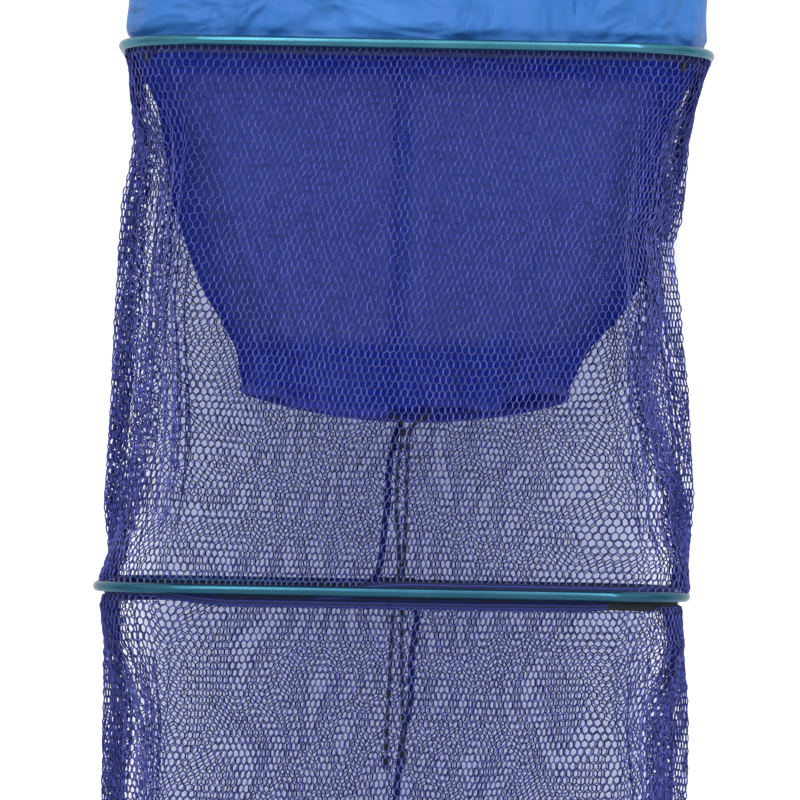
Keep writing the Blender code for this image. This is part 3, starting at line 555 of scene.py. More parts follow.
def tape_shift(path, x, y, along):
    """The tape lies high behind the tube at the front's left, and comes down towards its right."""
    front = at_front(y)
    lift, slim = np.interp(x, *TAPE_LIFT), np.interp(x, *TAPE_SLIM)
    return 0, 0.001 * (front * lift + front * slim * (path[:, 1:] < TAPE_FOOT))


def slim_shift(path, x, y, along):
    """Behind the back of the tube, the tape is narrower and lower on the left."""
    back = 0.0040 * (smooth_step((y - 0.08) / 0.05) * (1 - smooth_step((x + 0.05) / 0.06)))[None, :]
    _, lift = tape_shift(path, x, y, along)
    return 0, lift + back * (path[:, 1:] < TAPE_FOOT) - back


tape_shifts = {2: slim_shift, 3: tape_shift}
tape_path = [(-0.0048, -0.0078), (-0.0048, 0.0028), (-0.0060, 0.0028), (-0.0060, -0.0078), (-0.0048, -0.0078)]
tab_path = [(-0.0066, -0.0135), (-0.0068, -0.0080), (-0.0062, -0.0040), (-0.0062, 0.0052)]
loop_path = [(-0.0066, -0.0080), (-0.0062, -0.0040), (-0.0046, -0.0012)] + rounded((0, 0), 0.0042, 172, -128, 22)

# Places along the ring from its front's middle, and the loops' widths. The tabs sit at the front corners, and the
# side loops 62 mm behind the middles of the sides.
TAB_HALF = 0.0042
front_corner = HALF_WIDTH - CORNER + pi / 4 * CORNER
tab_places = {1: (("left", -front_corner - 0.006), ("right", front_corner + 0.002))}
side_loop = HALF_WIDTH - CORNER + pi / 2 * CORNER + HALF_DEPTH - CORNER + 0.062
loop_places = (("right", side_loop, 0.020), ("left", -side_loop, 0.020), ("back", ring_round / 2, 0.032))

for number in (1, 2, 3, 4):
    ring_x, ring_z = RING_PLACES[number]
    tape = swept_band(
        f"ring_{number}_sewn_tape", tape_path, ring_x, ring_z, navy_tape if number == 1 else webbing,
        steps=300, shift=tape_shifts.get(number),
    )
    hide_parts(f"ring_{number}_tape")
    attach(tape, f"ring_{number}")
    for side, middle in tab_places.get(number, ()):
        tab = swept_band(
            f"ring_{number}_tape_tab_{side}", tab_path, ring_x, ring_z, webbing,
            start=middle - TAB_HALF, stop=middle + TAB_HALF, steps=6,
        )
        thickened(tab, 0.0008, 0)
        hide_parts(f"ring_{number}_tape")
        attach(tab, f"ring_{number}")
    for side, middle, wide in loop_places:
        loop = swept_band(
            f"ring_{number}_webbing_{side}", loop_path, ring_x, ring_z, webbing,
            start=middle - wide / 2, stop=middle + wide / 2, steps=14,
        )
        thickened(loop, 0.0009, 0)
        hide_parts(f"ring_{number}_loop_{side}")
        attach(loop, f"ring_{number}")


# Binding: the cut edge of each lower bay is overlocked with dark blue thread, three lines of stitches
# along it and close loops across it, just under the tape of the second and third rings.

overlock = finish("overlocked_binding", (0.022, 0.040, 0.21), 0.7)
loops = texture(overlock, "ShaderNodeTexWave", 200, uv=True, Distortion=0.6, Detail=1)
lines = texture(overlock, "ShaderNodeTexWave", 125, uv=True, Distortion=0.8, Detail=1)
lines.bands_direction = "Y"
tint(overlock, lines.outputs["Fac"], (0.003, 0.007, 0.055), (0.019, 0.036, 0.27), 0.25, 0.95)
grain(overlock, loops.outputs["Fac"], 0.0003, 0.8)
grain(overlock, lines.outputs["Fac"], 0.0003, 0.6)

# From left to right, in millimetres: how far the binding is lifted.
BINDING_LIFT = ((-0.19, -0.165, -0.13, -0.11, 0, 0.13, 0.155, 0.19), (11.2, 10, 5.2, 3.6, 3.6, 4.4, 6.5, 7))


def binding_shift(path, x, y, along):
    """The binding runs up behind the tube at the front's left, and tucks in behind the tape at its right."""
    front, every_point = at_front(y), np.ones((len(path), 1))
    tuck = -0.0024 * smooth_step((x - 0.135) / 0.03) * front
    lift = 0.001 * np.interp(x, *BINDING_LIFT) * front
    return tuck * every_point, lift * every_point


bound_path = [(-0.0046, -0.0146), (-0.0043, -0.0116), (-0.0046, -0.0084), (-0.0062, -0.0084),
              (-0.0065, -0.0116), (-0.0062, -0.0146), (-0.0046, -0.0146)]
upper_path = [(-0.0046, -0.0010), (-0.0044, 0.0035), (-0.0046, 0.0070), (-0.0060, 0.0070), (-0.0060, -0.0010)]

for number in (2, 3):
    ring_x, ring_z = RING_PLACES[number]
    bound = swept_band(
        f"ring_{number}_overlocking", bound_path, ring_x, ring_z, overlock, steps=640, shift=binding_shift
    )
    upper = swept_band(
        f"ring_{number}_upper_edge", upper_path, ring_x, ring_z, overlock, start=-0.050, stop=0.205, steps=260,
        shift=lambda path, x, y, along: (0, -0.005 * smooth_step((0.010 - x) / 0.06)),
    )
    for piece in (bound, upper):
        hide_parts(f"ring_{number}_binding")
        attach(piece, f"ring_{number}")


# Net bays: knotless hexagon netting in blue-violet nylon, with cells about 4.2 mm wide and 5 mm high, sewn up as
# a tube. Between two rings the soft tube hangs flat at its sides, and its slack hangs there in upright pleats.

# The threads are tinted from dark navy to pale violet by a painted highlight along each one's outer ridge, carried in
# its UVs, with painted shade on its other faces, and a little random tone from noise.
netting = finish("blue_netting", (0.09, 0.10, 0.45), 0.42, Specular_IOR_Level=0.25)
twist = texture(netting, "ShaderNodeTexNoise", 60, Detail=3)
ridge_paint = netting.node_tree.nodes.new("ShaderNodeSeparateXYZ")
netting.node_tree.links.new(netting.node_tree.nodes["Texture Coordinate"].outputs["UV"], ridge_paint.inputs[0])
tone_and_highlight = netting.node_tree.nodes.new("ShaderNodeMath")
tone_and_highlight.operation = "MULTIPLY_ADD"
tone_and_highlight.inputs[1].default_value = 0.25
netting.node_tree.links.new(twist.outputs[0], tone_and_highlight.inputs[0])
netting.node_tree.links.new(ridge_paint.outputs["X"], tone_and_highlight.inputs[2])
tint(netting, tone_and_highlight.outputs[0], (0.004, 0.008, 0.120), (0.175, 0.212, 0.78), 0.20, 1.12)

CELL_ROWS, CELLS_ROUND = 72, 285
BAY_DROP = 0.362

# How strongly the painted highlight shows on the sloping and on the upright strands, from the weakest to the strongest.
SLOPE_HIGHLIGHT, UPRIGHT_HIGHLIGHT = (0.2, 0.8), (0.55, 1.15)

# How far inside the tube's middle line the net is sewn to the tape, and the middle of the rings' middles.
NET_LINE, NET_MIDDLE_X = 0.0072, -0.005

# For each bay: where a side hangs, as half widths down its height, from the top to the bottom. EDGE_FIT widens
# them by what the loose net draws in.
LEFT_EDGE = {
    1: ((0, 0.08, 0.155, 0.23, 0.27, 0.385, 0.54, 0.69, 0.845, 1),
        (0.1905, 0.1940, 0.1914, 0.1948, 0.1975, 0.1985, 0.1990, 0.1990, 0.1985, 0.1925)),
    2: ((0, 0.04, 0.10, 0.25, 0.5, 0.8, 1), (0.1890, 0.1940, 0.1965, 0.1965, 0.1960, 0.1950, 0.1930)),
    3: ((0, 0.06, 0.2, 0.45, 0.7, 0.9, 1), (0.1900, 0.1915, 0.1890, 0.1875, 0.1900, 0.1910, 0.1900)),
}
RIGHT_EDGE = {
    1: ((0, 0.06, 0.10, 0.135, 0.175, 0.25, 0.29, 0.326, 0.365, 0.44, 0.52, 0.60, 0.67, 0.75, 0.825, 0.94, 1),
        (0.1930, 0.1935, 0.1920, 0.1900, 0.1895, 0.1885, 0.1868, 0.1820, 0.1840, 0.1890, 0.1922, 0.1968,
         0.1992, 0.2018, 0.2045, 0.2025, 0.1950)),
    2: ((0, 0.04, 0.08, 0.16, 0.24, 0.33, 0.6, 0.85, 1),
        (0.1890, 0.1945, 0.2000, 0.2035, 0.2050, 0.2050, 0.2000, 0.1960, 0.1930)),
    3: ((0, 0.1, 0.3, 0.5, 0.75, 1), (0.1900, 0.1930, 0.1895, 0.1885, 0.1925, 0.1900)),
}
EDGE_FIT = 1.008

# For each bay and side (-1 is the left), its pleats: their half widths down the height, and each one's share of
# the slack. In a pleat the net lies to and fro, with one fold to each PLEAT_FOLD of its length.
PLEAT_HALF, PLEAT_FOLD = 0.0044, 0.016
PLEATS = {
    (1, -1): (
        ((0, 0.20, 0.50, 0.60, 0.74, 0.84, 1), (0.184, 0.181, 0.1795, 0.182, 0.184, 0.1855, 0.186),
         (0.8, 1, 1, 1, 1, 0.9, 0.6)),
        ((0, 0.20, 0.50, 0.64, 0.74, 0.83, 1), (0.160, 0.162, 0.1655, 0.1675, 0.1685, 0.1717, 0.176),
         (0.3, 0.5, 0.6, 0.9, 1, 1, 0.8)),
        ((0, 0.45, 0.60, 0.74, 0.84, 1), (0.150, 0.156, 0.152, 0.147, 0.150, 0.158), (0.2, 0.3, 0.6, 0.6, 0.3, 0.2)),
    ),
    (1, 1): (
        ((0, 0.16, 0.30, 0.50, 0.58, 0.64, 0.70, 0.76, 0.83, 1),
         (0.184, 0.181, 0.177, 0.168, 0.1615, 0.162, 0.1675, 0.171, 0.180, 0.184), (0.7, 1, 1, 1, 1, 1, 1, 1, 1, 0.8)),
        ((0, 0.50, 0.62, 0.72, 1), (0.158, 0.176, 0.177, 0.180, 0.170), (0.5, 0.2, 0.35, 0.4, 0.5)),
        ((0, 0.70, 0.80, 1), (0.150, 0.150, 0.160, 0.166), (0.2, 0.1, 0.3, 0.3)),
    ),
    (2, -1): (
        ((0, 0.09, 0.18, 0.40, 1), (0.178, 0.174, 0.177, 0.180, 0.176), (1, 1, 1, 1, 0.8)),
        ((0, 0.3, 0.7, 1), (0.156, 0.160, 0.163, 0.156), (0.6, 0.5, 0.6, 0.5)),
    ),
    (2, 1): (
        ((0, 0.06, 0.2, 0.4, 0.7, 1), (0.178, 0.176, 0.172, 0.174, 0.168, 0.174), (1, 1, 1, 1, 1, 0.8)),
        ((0, 0.3, 0.7, 1), (0.154, 0.158, 0.184, 0.158), (0.3, 0.2, 0.2, 0.3)),
    ),
    (3, -1): (((0, 0.5, 1), (0.176, 0.172, 0.178), (1, 1, 1)), ((0, 0.5, 1), (0.156, 0.152, 0.158), (0.5, 0.6, 0.5))),
    (3, 1): (((0, 0.5, 1), (0.174, 0.166, 0.176), (1, 1, 1)), ((0, 0.5, 1), (0.154, 0.180, 0.158), (0.4, 0.4, 0.4))),
}

# From left to right, in millimetres: how far the top of a lower bay is drawn up.
TOP_LIFT = ((-0.19, -0.165, -0.13, -0.11, 0, 0.13, 0.19), (11.2, 10, 5.2, 3.6, 3.6, 4, 4))

net_half, net_deep, net_corner = HALF_WIDTH - NET_LINE, HALF_DEPTH - NET_LINE, CORNER - NET_LINE
net_round = round_length(net_half, net_deep, net_corner)


def top_lift(x, y):
    """How far the top of a lower bay is drawn up behind the tube, most at the left of its front."""
    lift = 0.001 * at_front(y) * np.interp(x, *TOP_LIFT)
    return np.maximum(lift, 0.0075 * smooth_step((np.abs(x) - 0.160) / 0.02))


def drawn_flat(x, part):
    """How much nearer the net's front and back hang to each other at its sides than the rings hold them."""
    return 1 - 0.90 * smooth_step(part / 0.25) * np.clip((np.abs(x) - 0.10) / 0.089, 0, 1) ** 2


def pinch(part):
    """How far the net's side walls are laid out over its sides, from 0 at the rings to 1 between them."""
    return smooth_step(part / 0.26) * smooth_step((1 - part) / 0.16)


def pleat_band(pleats, part, half_width):
    """How much of the slack is taken up at a half width: near 1 within a pleat and 0 beside it."""
    return sum(
        np.interp(part, downs, shares) * np.exp(-(((half_width - np.interp(part, downs, places)) / PLEAT_HALF) ** 4))
        for downs, places, shares in pleats
    )


def laid_out(pleats, straight, quarter):
    """A table of half widths: down the height, and from the front's end to the side's middle along the net.

    The net lies evenly but for its slack, which lies in the pleats.
    """
    half_widths, lays = np.linspace(straight, net_half, 91), np.linspace(0, 1, 201)
    rows = []
    for part in np.linspace(0, 1, 61):
        band = pleat_band(pleats, part, half_widths)
        even = np.interp(half_widths, (straight, straight + 0.02, net_half), (1.2, 1.5, 2.6))
        step = half_widths[1] - half_widths[0]
        dense = even + band * ((quarter - straight) / step - even.sum()) / band.sum()
        run = np.concatenate(([0], np.cumsum((dense[1:] + dense[:-1]) / 2)))
        rows.append(np.interp(lays, run / run[-1], half_widths))
    return np.array(rows)


def read_table(table, part, lay):
    """The table's value between its rows and columns."""
    row, column = np.clip(part, 0, 1) * (table.shape[0] - 1.001), np.clip(lay, 0, 1) * (table.shape[1] - 1.001)
    up, left = row.astype(int), column.astype(int)
    down, across = row - up, column - left
    above = table[up, left] * (1 - across) + table[up, left + 1] * across
    return above * (1 - down) + (table[up + 1, left] * (1 - across) + table[up + 1, left + 1] * across) * down


side_tables = {key: laid_out(pleats, net_half - net_corner, net_round / 4) for key, pleats in PLEATS.items()}


def pinched(along, wide, deep, corner, part, tables=None):
    """A rounded oblong whose side walls come to an edge and hang in pleats, as soft net does between two rings."""
    x, y, out_x, out_y = oblong(along, wide, deep, corner)
    quarter, straight = round_length(wide, deep, corner) / 4, wide - corner
    gone = np.abs((along + 2 * quarter) % (4 * quarter) - 2 * quarter)
    lay = 1 - np.clip(np.abs(gone - quarter) / (quarter - straight), 0, 1)
    hand, face = np.sign(x), np.sign(y)
    much = pinch(part) * (lay > 0)
    if tables is None:
        aside = straight + corner * lay
    else:
        aside = np.where(hand > 0, read_table(tables[1], part, lay), read_table(tables[-1], part, lay))
    x = x + hand * much * (aside - np.abs(x))
    return x, y, out_x + much * (0.3 * hand - out_x), out_y + much * (0.95 * face - out_y)


def bay_surface(number, share, part):
    """The net's place at a share of the way round from the back seam, and a part of the way down."""
    wider = 0.42 * np.sin(2 * pi * share) + 0.45 * np.sin(4 * pi * share) - 0.04 * np.sin(12 * pi * share)
    share = share - wider / (12 * pi)
    along = (share - 0.5) * net_round
    slant = 0.030 * (0.5 - part) * np.cos(2 * pi * (share - 0.5))
    drift = 0.0011 * np.sin(along * 31 + part * 17 + number) + 0.0006 * np.sin(along * 83 - part * 29)
    along = along + slant + drift
    tables = {hand: side_tables[number, hand] for hand in (-1, 1)}
    x, y, out_x, out_y = pinched(along, net_half, net_deep, net_corner, part, tables)
    left_band, right_band = (pleat_band(PLEATS[number, hand], part, np.abs(x)) for hand in (-1, 1))
    band = np.clip(np.where(x > 0, right_band, left_band), 0, 1) * pinch(part)
    fold_turn = 2 * pi * along / PLEAT_FOLD
    x = x + 0.0036 * band * np.sin(fold_turn)
    loose = np.sin(pi * part) ** 0.8
    sewn = 0.0030 * (1 - smooth_step(part / 0.05)) + 0.0020 * smooth_step((part - 0.96) / 0.04)
    calm = 1 - 0.8 * smooth_step((np.abs(x) - 0.16) / 0.02)
    waves = 0.0014 * np.sin(along * 61 + 3.5 * part) + 0.0009 * np.sin(along * 143 - 5 * part)
    inward = loose * (0.0016 + waves) * calm - sewn + 0.003 * band * (1 + np.cos(fold_turn))
    x, y = x - out_x * inward, y - out_y * inward
    y = y * (1 - (1 - drawn_flat(x, part)) * smooth_step((1 - part) / 0.14))
    side_share = smooth_step((np.abs(x) - 0.120) / 0.060)
    edge = np.where(x > 0, np.interp(part, *RIGHT_EDGE[number]), np.interp(part, *LEFT_EDGE[number]))
    x = x + np.sign(x) * (edge * EDGE_FIT - net_half) * side_share
    from_x, from_z = RING_PLACES[number]
    to_x, to_z = RING_PLACES[number + 1]
    top = from_z - (0.0012 if number == 1 else 0.0140 - top_lift(x, y))
    low = to_z + 0.0015
    sag = 0.0030 * np.sin(along * 24 + 1.3 * number + 5 * part) + 0.0008 * np.sin(along * 71 + 23 * part)
    sag = sag * np.sin(pi * part) ** 0.6
    z = top + (low - top) * part + sag
    return np.stack((from_x + x + (to_x - from_x) * part, NET_AXIS_Y + y, z), -1)


def hexagon_strands(place, cells, rows, peak=0.42, first=0.0, last=1.0, uneven=0.00022):
    """The two ends of each strand of a hexagon mesh on a surface: the sloping ones, then the upright ones.

    A sloping strand rises by this peak, as a share of a row, and uneven is the scatter of the knots in metres.
    """
    steps = 2 * cells
    chance = np.random.default_rng(11)
    line, column = np.meshgrid(np.arange(rows + 1), np.arange(steps + 1), indexing="ij")
    up = np.where((column + line) % 2 == 0, 1, -1) * peak / 2
    part = np.clip((line + up) / rows, 0, 1)
    points = place(first + (last - first) * column / steps, part)
    points = points + chance.normal(0, uneven, points.shape)
    slopes = points[:, :-1].reshape(-1, 3), points[:, 1:].reshape(-1, 3)
    low_here = ((column + line) % 2 == 0)[:-1, :-1]
    uprights = points[:-1, :-1][low_here], points[1:, :-1][low_here]
    return slopes, uprights


def threads(strands, radii, outward):
    """Three-sided threads for the sloping and the upright strands, with a painted highlight along their outer edge and
    painted shade on their other faces.
    """
    points, faces, pale, offset = [], [], [], 0
    chance = np.random.default_rng(5)
    for (start, stop), radius, tones in zip(strands, radii, (SLOPE_HIGHLIGHT, UPRIGHT_HIGHLIGHT)):
        radius = radius * chance.uniform(0.82, 1.18, (len(start), 1))
        shine = chance.uniform(*tones, len(start))
        run = stop - start
        run = run / np.maximum(np.linalg.norm(run, axis=1, keepdims=True), 1e-9)
        out = outward((start + stop) / 2)
        # Painted light and shade by place: the highlight is dimmed on the outermost threads at the net's sides, and in
        # the dense bands near the sides the threads' other faces are painted paler, against the shade that falls there.
        aside = np.abs(start[:, 0] - NET_MIDDLE_X)
        shine *= 1 - 0.4 * smooth_step((aside - 0.183) / 0.006)
        dull = shine * 0.45 * smooth_step((aside - 0.146) / 0.012)
        side = np.cross(run, out)
        side /= np.maximum(np.linalg.norm(side, axis=1, keepdims=True), 1e-9)
        out = np.cross(side, run)
        ring = [radius * (np.cos(t) * out + np.sin(t) * side) for t in (0, 2 * pi / 3, 4 * pi / 3)]
        block = np.stack([start + r for r in ring] + [stop + r for r in ring], 1)
        here = offset + 6 * np.arange(len(start))[:, None]
        for a, b in ((0, 1), (1, 2), (2, 0)):
            faces.append(here + np.array([[a, b, b + 3, a + 3]]))
        points.append(block.reshape(-1, 3))
        pale.append(np.stack((shine, dull, dull, shine, dull, dull), 1).reshape(-1, 1) * (1, 0))
        offset += 6 * len(start)
    return np.vstack(points), np.vstack(faces), np.vstack(pale)


def from_axis(x):
    """The direction out from the net's flat front and back, turned outward at its two sides."""
    def outward(points):
        aside, away = points[:, 0] - x, points[:, 1] - NET_AXIS_Y
        out = np.stack((0.6 * (aside / 0.19) ** 7, away / (np.abs(away) + 0.003), 0 * away), -1)
        return out / np.maximum(np.linalg.norm(out, axis=1, keepdims=True), 1e-9)
    return outward


def hang_between(piece):
    """A bay's piece, with its place baked into its points."""
    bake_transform(piece)


for number in (1, 2, 3):
    strand_radii = (0.00050, 0.00064) if number == 1 else (0.00053, 0.00068)
    for part_name, first, last in (("left", 0, 1 / 3), ("front", 1 / 3, 2 / 3), ("right", 2 / 3, 1)):
        strands = hexagon_strands(
            lambda share, part: bay_surface(number, share, part), CELLS_ROUND // 3, CELL_ROWS, first=first, last=last
        )
        points, faces, pale = threads(strands, strand_radii, from_axis(RING_PLACES[number][0]))
        net = new_piece(f"bay_{number}_netting_{part_name}", points, faces, netting, pale)
        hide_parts(f"bay_{number}_net")
        hang_between(net)


# Seams: the tube of net in each bay is closed down the back by a strip of dark blue binding, sewn over the net's
# two edges. It wanders a little on its way down.

SEAM_ROWS, SEAM_COLUMNS = 90, 5
down, across = np.meshgrid(np.linspace(0, 1, SEAM_ROWS), np.linspace(-1, 1, SEAM_COLUMNS), indexing="ij")
seam_uv = np.stack((down * 0.34, across * 0.0026), -1).reshape(-1, 2)
seam_faces = woven_grid(SEAM_ROWS, SEAM_COLUMNS)

for number in (1, 2, 3):
    middle = bay_surface(number, np.zeros_like(down) + 1e-4, down)
    wander = 0.0042 * (smooth_step(down / 0.6) if number == 1 else 1) * smooth_step((1.02 - down) * 12)
    middle[..., 0] = middle[:, :1, 0] + across * 0.0024 + wander + 0.0006 * np.sin(down * 40)
    middle[..., 1] += 0.0014 + 0.0005 * (1 - across**2)
    seam = new_piece(f"bay_{number}_seam_strip", middle.reshape(-1, 3), seam_faces, overlock, seam_uv)
    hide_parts(f"bay_{number}_seam")
    hang_between(seam)


# Throat: a sleeve of much finer knitted mesh, sewn in under the first ring, that narrows to a flat mouth
# with a hem. It lets fish in and keeps them from swimming out.

fine_mesh = finish("fine_throat_mesh", (0.020, 0.036, 0.30), 0.55, Specular_IOR_Level=0.12)
# The fine mesh is tinted from deep blue to a paler blue by painted light and shade carried in its UVs, and by random
# tone from noise.
fine_dye = texture(fine_mesh, "ShaderNodeTexNoise", 20, Detail=9, Roughness=0.75)
throat_shade_uv = fine_mesh.node_tree.nodes.new("ShaderNodeSeparateXYZ")
fine_mesh.node_tree.links.new(fine_mesh.node_tree.nodes["Texture Coordinate"].outputs["UV"], throat_shade_uv.inputs[0])
throat_tone = fine_mesh.node_tree.nodes.new("ShaderNodeMath")
throat_tone.operation = "MULTIPLY_ADD"
throat_tone.inputs[1].default_value = 0.9
fine_mesh.node_tree.links.new(fine_dye.outputs[0], throat_tone.inputs[0])
fine_mesh.node_tree.links.new(throat_shade_uv.outputs["X"], throat_tone.inputs[2])
tint(fine_mesh, throat_tone.outputs[0], (0.003, 0.024, 0.37), (0.054, 0.086, 0.41), 0.35, 1.52)

THROAT_TOP, THROAT_DROP = -0.155, 0.236
THROAT_CELLS, THROAT_ROWS = 262, 104
FACING_CELLS, FACING_ROWS = 190, 12

# Down the sleeve: its half width, its half depth, and its left and right sides' own shares of the half width.
THROAT_PARTS = (0, 0.12, 0.42, 0.65, 0.86, 1)
THROAT_WIDTHS = (0.1892, 0.1797, 0.1703, 0.1533, 0.1249, 0.1116)
THROAT_GAPES = (0.1392, 0.1225, 0.1030, 0.0780, 0.0500, 0.0334)
LEFT_OF_THROAT = ((0, 0.25, 0.42, 0.59, 0.80, 0.92, 1), (1, 0.985, 0.975, 0.968, 0.975, 1.00, 1.04))
RIGHT_OF_THROAT = ((0, 0.25, 0.42, 0.59, 0.75, 0.84, 1), (1, 1.005, 1.02, 1.02, 1.035, 1.00, 0.97))

# The wavy lower edge of the front, in millimetres above its middle, from left to right.
EDGE_PLACES = (-0.121, -0.111, -0.104, -0.096, -0.090, -0.080, -0.068, -0.057, -0.050, -0.035, -0.011,
               0.004, 0.011, 0.019, 0.032, 0.043, 0.057, 0.063, 0.072, 0.084, 0.106, 0.110, 0.114)
EDGE_RISES = (23, 17, 15.5, 16.5, 15, 9.5, 7, 5, 2.8, 2.8, 1.5,
              2.5, 5, 10, 10.5, 8.5, 7.5, 14.5, 20, 21.5, 20.5, 25, 31)

# The sleeve's folds: down its height, each one's place along the cloth (left of the middle below 0), the cloth
# that it takes up, and how far in it lies.
THROAT_FOLDS = (
    ((0, 0.15, 0.42, 0.56, 0.73, 0.85, 1), (0.170, 0.163, 0.146, 0.131, 0.100, 0.075, 0.060),
     (0.004, 0.012, 0.022, 0.022, 0.026, 0.020, 0.010), 0.004),
    ((0, 0.42, 0.56, 0.73, 1), (0.186, 0.166, 0.154, 0.128, 0.100), (0.004, 0.022, 0.022, 0.022, 0.010), 0.004),
    ((0, 0.42, 0.7, 1), (0.215, 0.196, 0.170, 0.132), (0.004, 0.020, 0.020, 0.008), 0.004),
    ((0, 0.5, 1), (-0.008, -0.006, -0.006), (0.018, 0.016, 0.010), 0.004),
    ((0, 0.49, 0.63, 0.8, 1), (-0.150, -0.112, -0.096, -0.074, -0.050), (0.000, 0.006, 0.008, 0.010, 0.004), 0.003),
    ((0, 0.15, 0.42, 0.56, 0.73, 0.85, 1), (-0.172, -0.167, -0.152, -0.140, -0.122, -0.104, -0.085),
     (0.004, 0.010, 0.020, 0.022, 0.024, 0.020, 0.010), 0.004),
    ((0, 0.42, 0.56, 0.73, 1), (-0.188, -0.168, -0.158, -0.140, -0.112), (0.004, 0.020, 0.020, 0.020, 0.010), 0.004),
    ((0, 0.42, 0.7, 1), (-0.215, -0.194, -0.168, -0.132), (0.004, 0.020, 0.020, 0.008), 0.004),
)


def fold_over(turn):
    """How much of a fold has been taken up, from 0 before it to 1 after it."""
    turn = np.clip(turn, -0.5, 0.5)
    return 0.5 + 1.5 * turn - 2 * turn**3


def gathered(share, part, whole, folds):
    """Where cloth at a share of its way round lies on an outline, and how far in, with its folds laid flat."""
    taken, plan = {}, []
    for hand in (1, -1):
        total = np.zeros_like(part)
        for downs, places, amounts, deep in sorted(folds, key=lambda fold: abs(fold[1][0])):
            if places[0] * hand > 0:
                amount = np.interp(part, downs, amounts)
                middle = np.interp(part, downs, places) + hand * (total + amount / 2)
                plan.append((hand, middle, amount, deep))
                total = total + amount
        taken[hand] = total
    cloth = share * (whole + taken[1] + taken[-1]) - whole / 2 - taken[-1]
    along, inward = cloth.copy(), np.zeros_like(cloth)
    for hand, middle, amount, deep in plan:
        turn = (cloth - middle) / (0.75 * amount + 1e-6)
        along -= amount * (fold_over(turn) - (hand < 0))
        turn = turn * hand
        layer = smooth_step((turn + 0.3) / 0.6) * (1 - smooth_step((turn - 0.6) / 2.2))
        inward += deep * smooth_step(amount / 0.012) * layer
    return along, inward


def throat_surface(share, part, folds=THROAT_FOLDS):
    """The sleeve's place at a share of the way round from the back's middle, and a part of the way down."""
    depth = np.clip(part, 0, 1)
    wide = np.interp(depth, THROAT_PARTS, THROAT_WIDTHS)
    gape = np.interp(depth, THROAT_PARTS, THROAT_GAPES)
    corner = np.minimum(CORNER - 0.0073, gape * 0.95)
    whole = round_length(wide, gape, corner)
    bay_part = depth * THROAT_DROP / BAY_DROP
    along, inward = gathered(share, depth, whole, folds)
    x, y, out_x, out_y = pinched(along, wide, gape, corner, bay_part)
    turn = 2 * pi * along / whole
    ripple = 0.0036 * depth**2 * np.cos(9 * turn) + 0.0016 * depth * np.sin(19 * turn - 4 * depth)
    slack = 0.0060 * np.sin(pi * depth) * (0.5 + 0.5 * np.cos(4 * turn + 2.2 * depth))
    x, y = x + out_x * (ripple - inward - slack * 0.3), y + out_y * (ripple - inward - slack)
    x = x * np.where(x > 0, np.interp(depth, *RIGHT_OF_THROAT), np.interp(depth, *LEFT_OF_THROAT))
    y = y * drawn_flat(x, bay_part)
    front = smooth_step((0.006 - y) / 0.016)
    plain_rise = 0.016 * (depth * x / wide) ** 2
    wavy_rise = 0.001 * np.interp(x, EDGE_PLACES, EDGE_RISES) * depth**3
    z = THROAT_TOP - THROAT_DROP * depth + plain_rise + (wavy_rise - plain_rise) * front * depth
    return np.stack((x, NET_AXIS_Y + y, z), -1)


def flat_threads(strands, widths, outward):
    """Flat two-edged threads, for mesh too fine to show its thickness."""
    points, faces, offset = [], [], 0
    for (start, stop), width in zip(strands, widths):
        run = stop - start
        side = np.cross(run, outward((start + stop) / 2))
        side *= width / 2 / np.maximum(np.linalg.norm(side, axis=1, keepdims=True), 1e-9)
        block = np.stack((start - side, start + side, stop + side, stop - side), 1)
        points.append(block.reshape(-1, 3))
        faces.append(offset + 4 * np.arange(len(start))[:, None] + np.array([[0, 1, 2, 3]]))
        offset += 4 * len(start)
    return np.vstack(points), np.vstack(faces)


# The sleeve's soft creases, painted as shade: x at the top and at the mouth, and how much paleness each takes away.
THROAT_CREASES = (
    (0.122, 0.052, 0.6), (0.062, 0.058, 0.3), (-0.122, -0.088, 0.45), (-0.052, -0.066, 0.3), (0.030, 0.020, 0.2)
)
CREASE_HALF = 0.007


def throat_light_and_shade(points):
    """Painted light and shade on the mesh: paler in its open middle, darker along its sides, its middle fold, its hem
    and its creases.
    """
    depth = (THROAT_TOP - points[:, 2]) / THROAT_DROP
    across = np.abs(points[:, 0]) / np.interp(depth, THROAT_PARTS, THROAT_WIDTHS)
    lit_share = smooth_step((0.95 - across) / 0.25)
    lit_share = lit_share * smooth_step((0.84 - depth) / 0.10) * smooth_step((depth - 0.05) / 0.06)
    lit_share *= 0.25 + 0.75 * smooth_step((np.abs(points[:, 0] + 0.009) - 0.005) / 0.008)
    for top, mouth, deep in THROAT_CREASES:
        lit_share *= 1 - deep * np.exp(-(((points[:, 0] - top - (mouth - top) * depth) / CREASE_HALF) ** 2))
    return np.stack((lit_share, 0 * depth), -1)


def hang_in_throat(piece, node):
    """The piece stands for this node, which is hidden. It hangs from ring 1, with a mesh of its own."""
    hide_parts(node)
    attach(piece, "ring_1")
    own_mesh(piece)


for part_name, first, last in (("left", 0, 0.5), ("right", 0.5, 1)):
    strands = hexagon_strands(
        throat_surface, THROAT_CELLS, THROAT_ROWS, peak=0.35, first=first, last=last, uneven=0.00006
    )
    points, faces = flat_threads(strands, (0.00185, 0.00200), from_axis(0))
    throat = new_piece(f"throat_mesh_{part_name}", points, faces, fine_mesh, throat_light_and_shade(points))
    hang_in_throat(throat, "throat_net")

# A second layer of the mesh faces the hem inside the front, from 0.80 to 0.91 of the way down.
strands = hexagon_strands(
    lambda share, part: throat_surface(share, 0.80 + 0.11 * part), FACING_CELLS, FACING_ROWS,
    peak=0.35, first=0.2, last=0.8
)
points, faces = flat_threads(strands, (0.00078, 0.00090), from_axis(0))
points = points + (points - np.array((0, NET_AXIS_Y, 0))) * (-0.012, -0.012, 0)
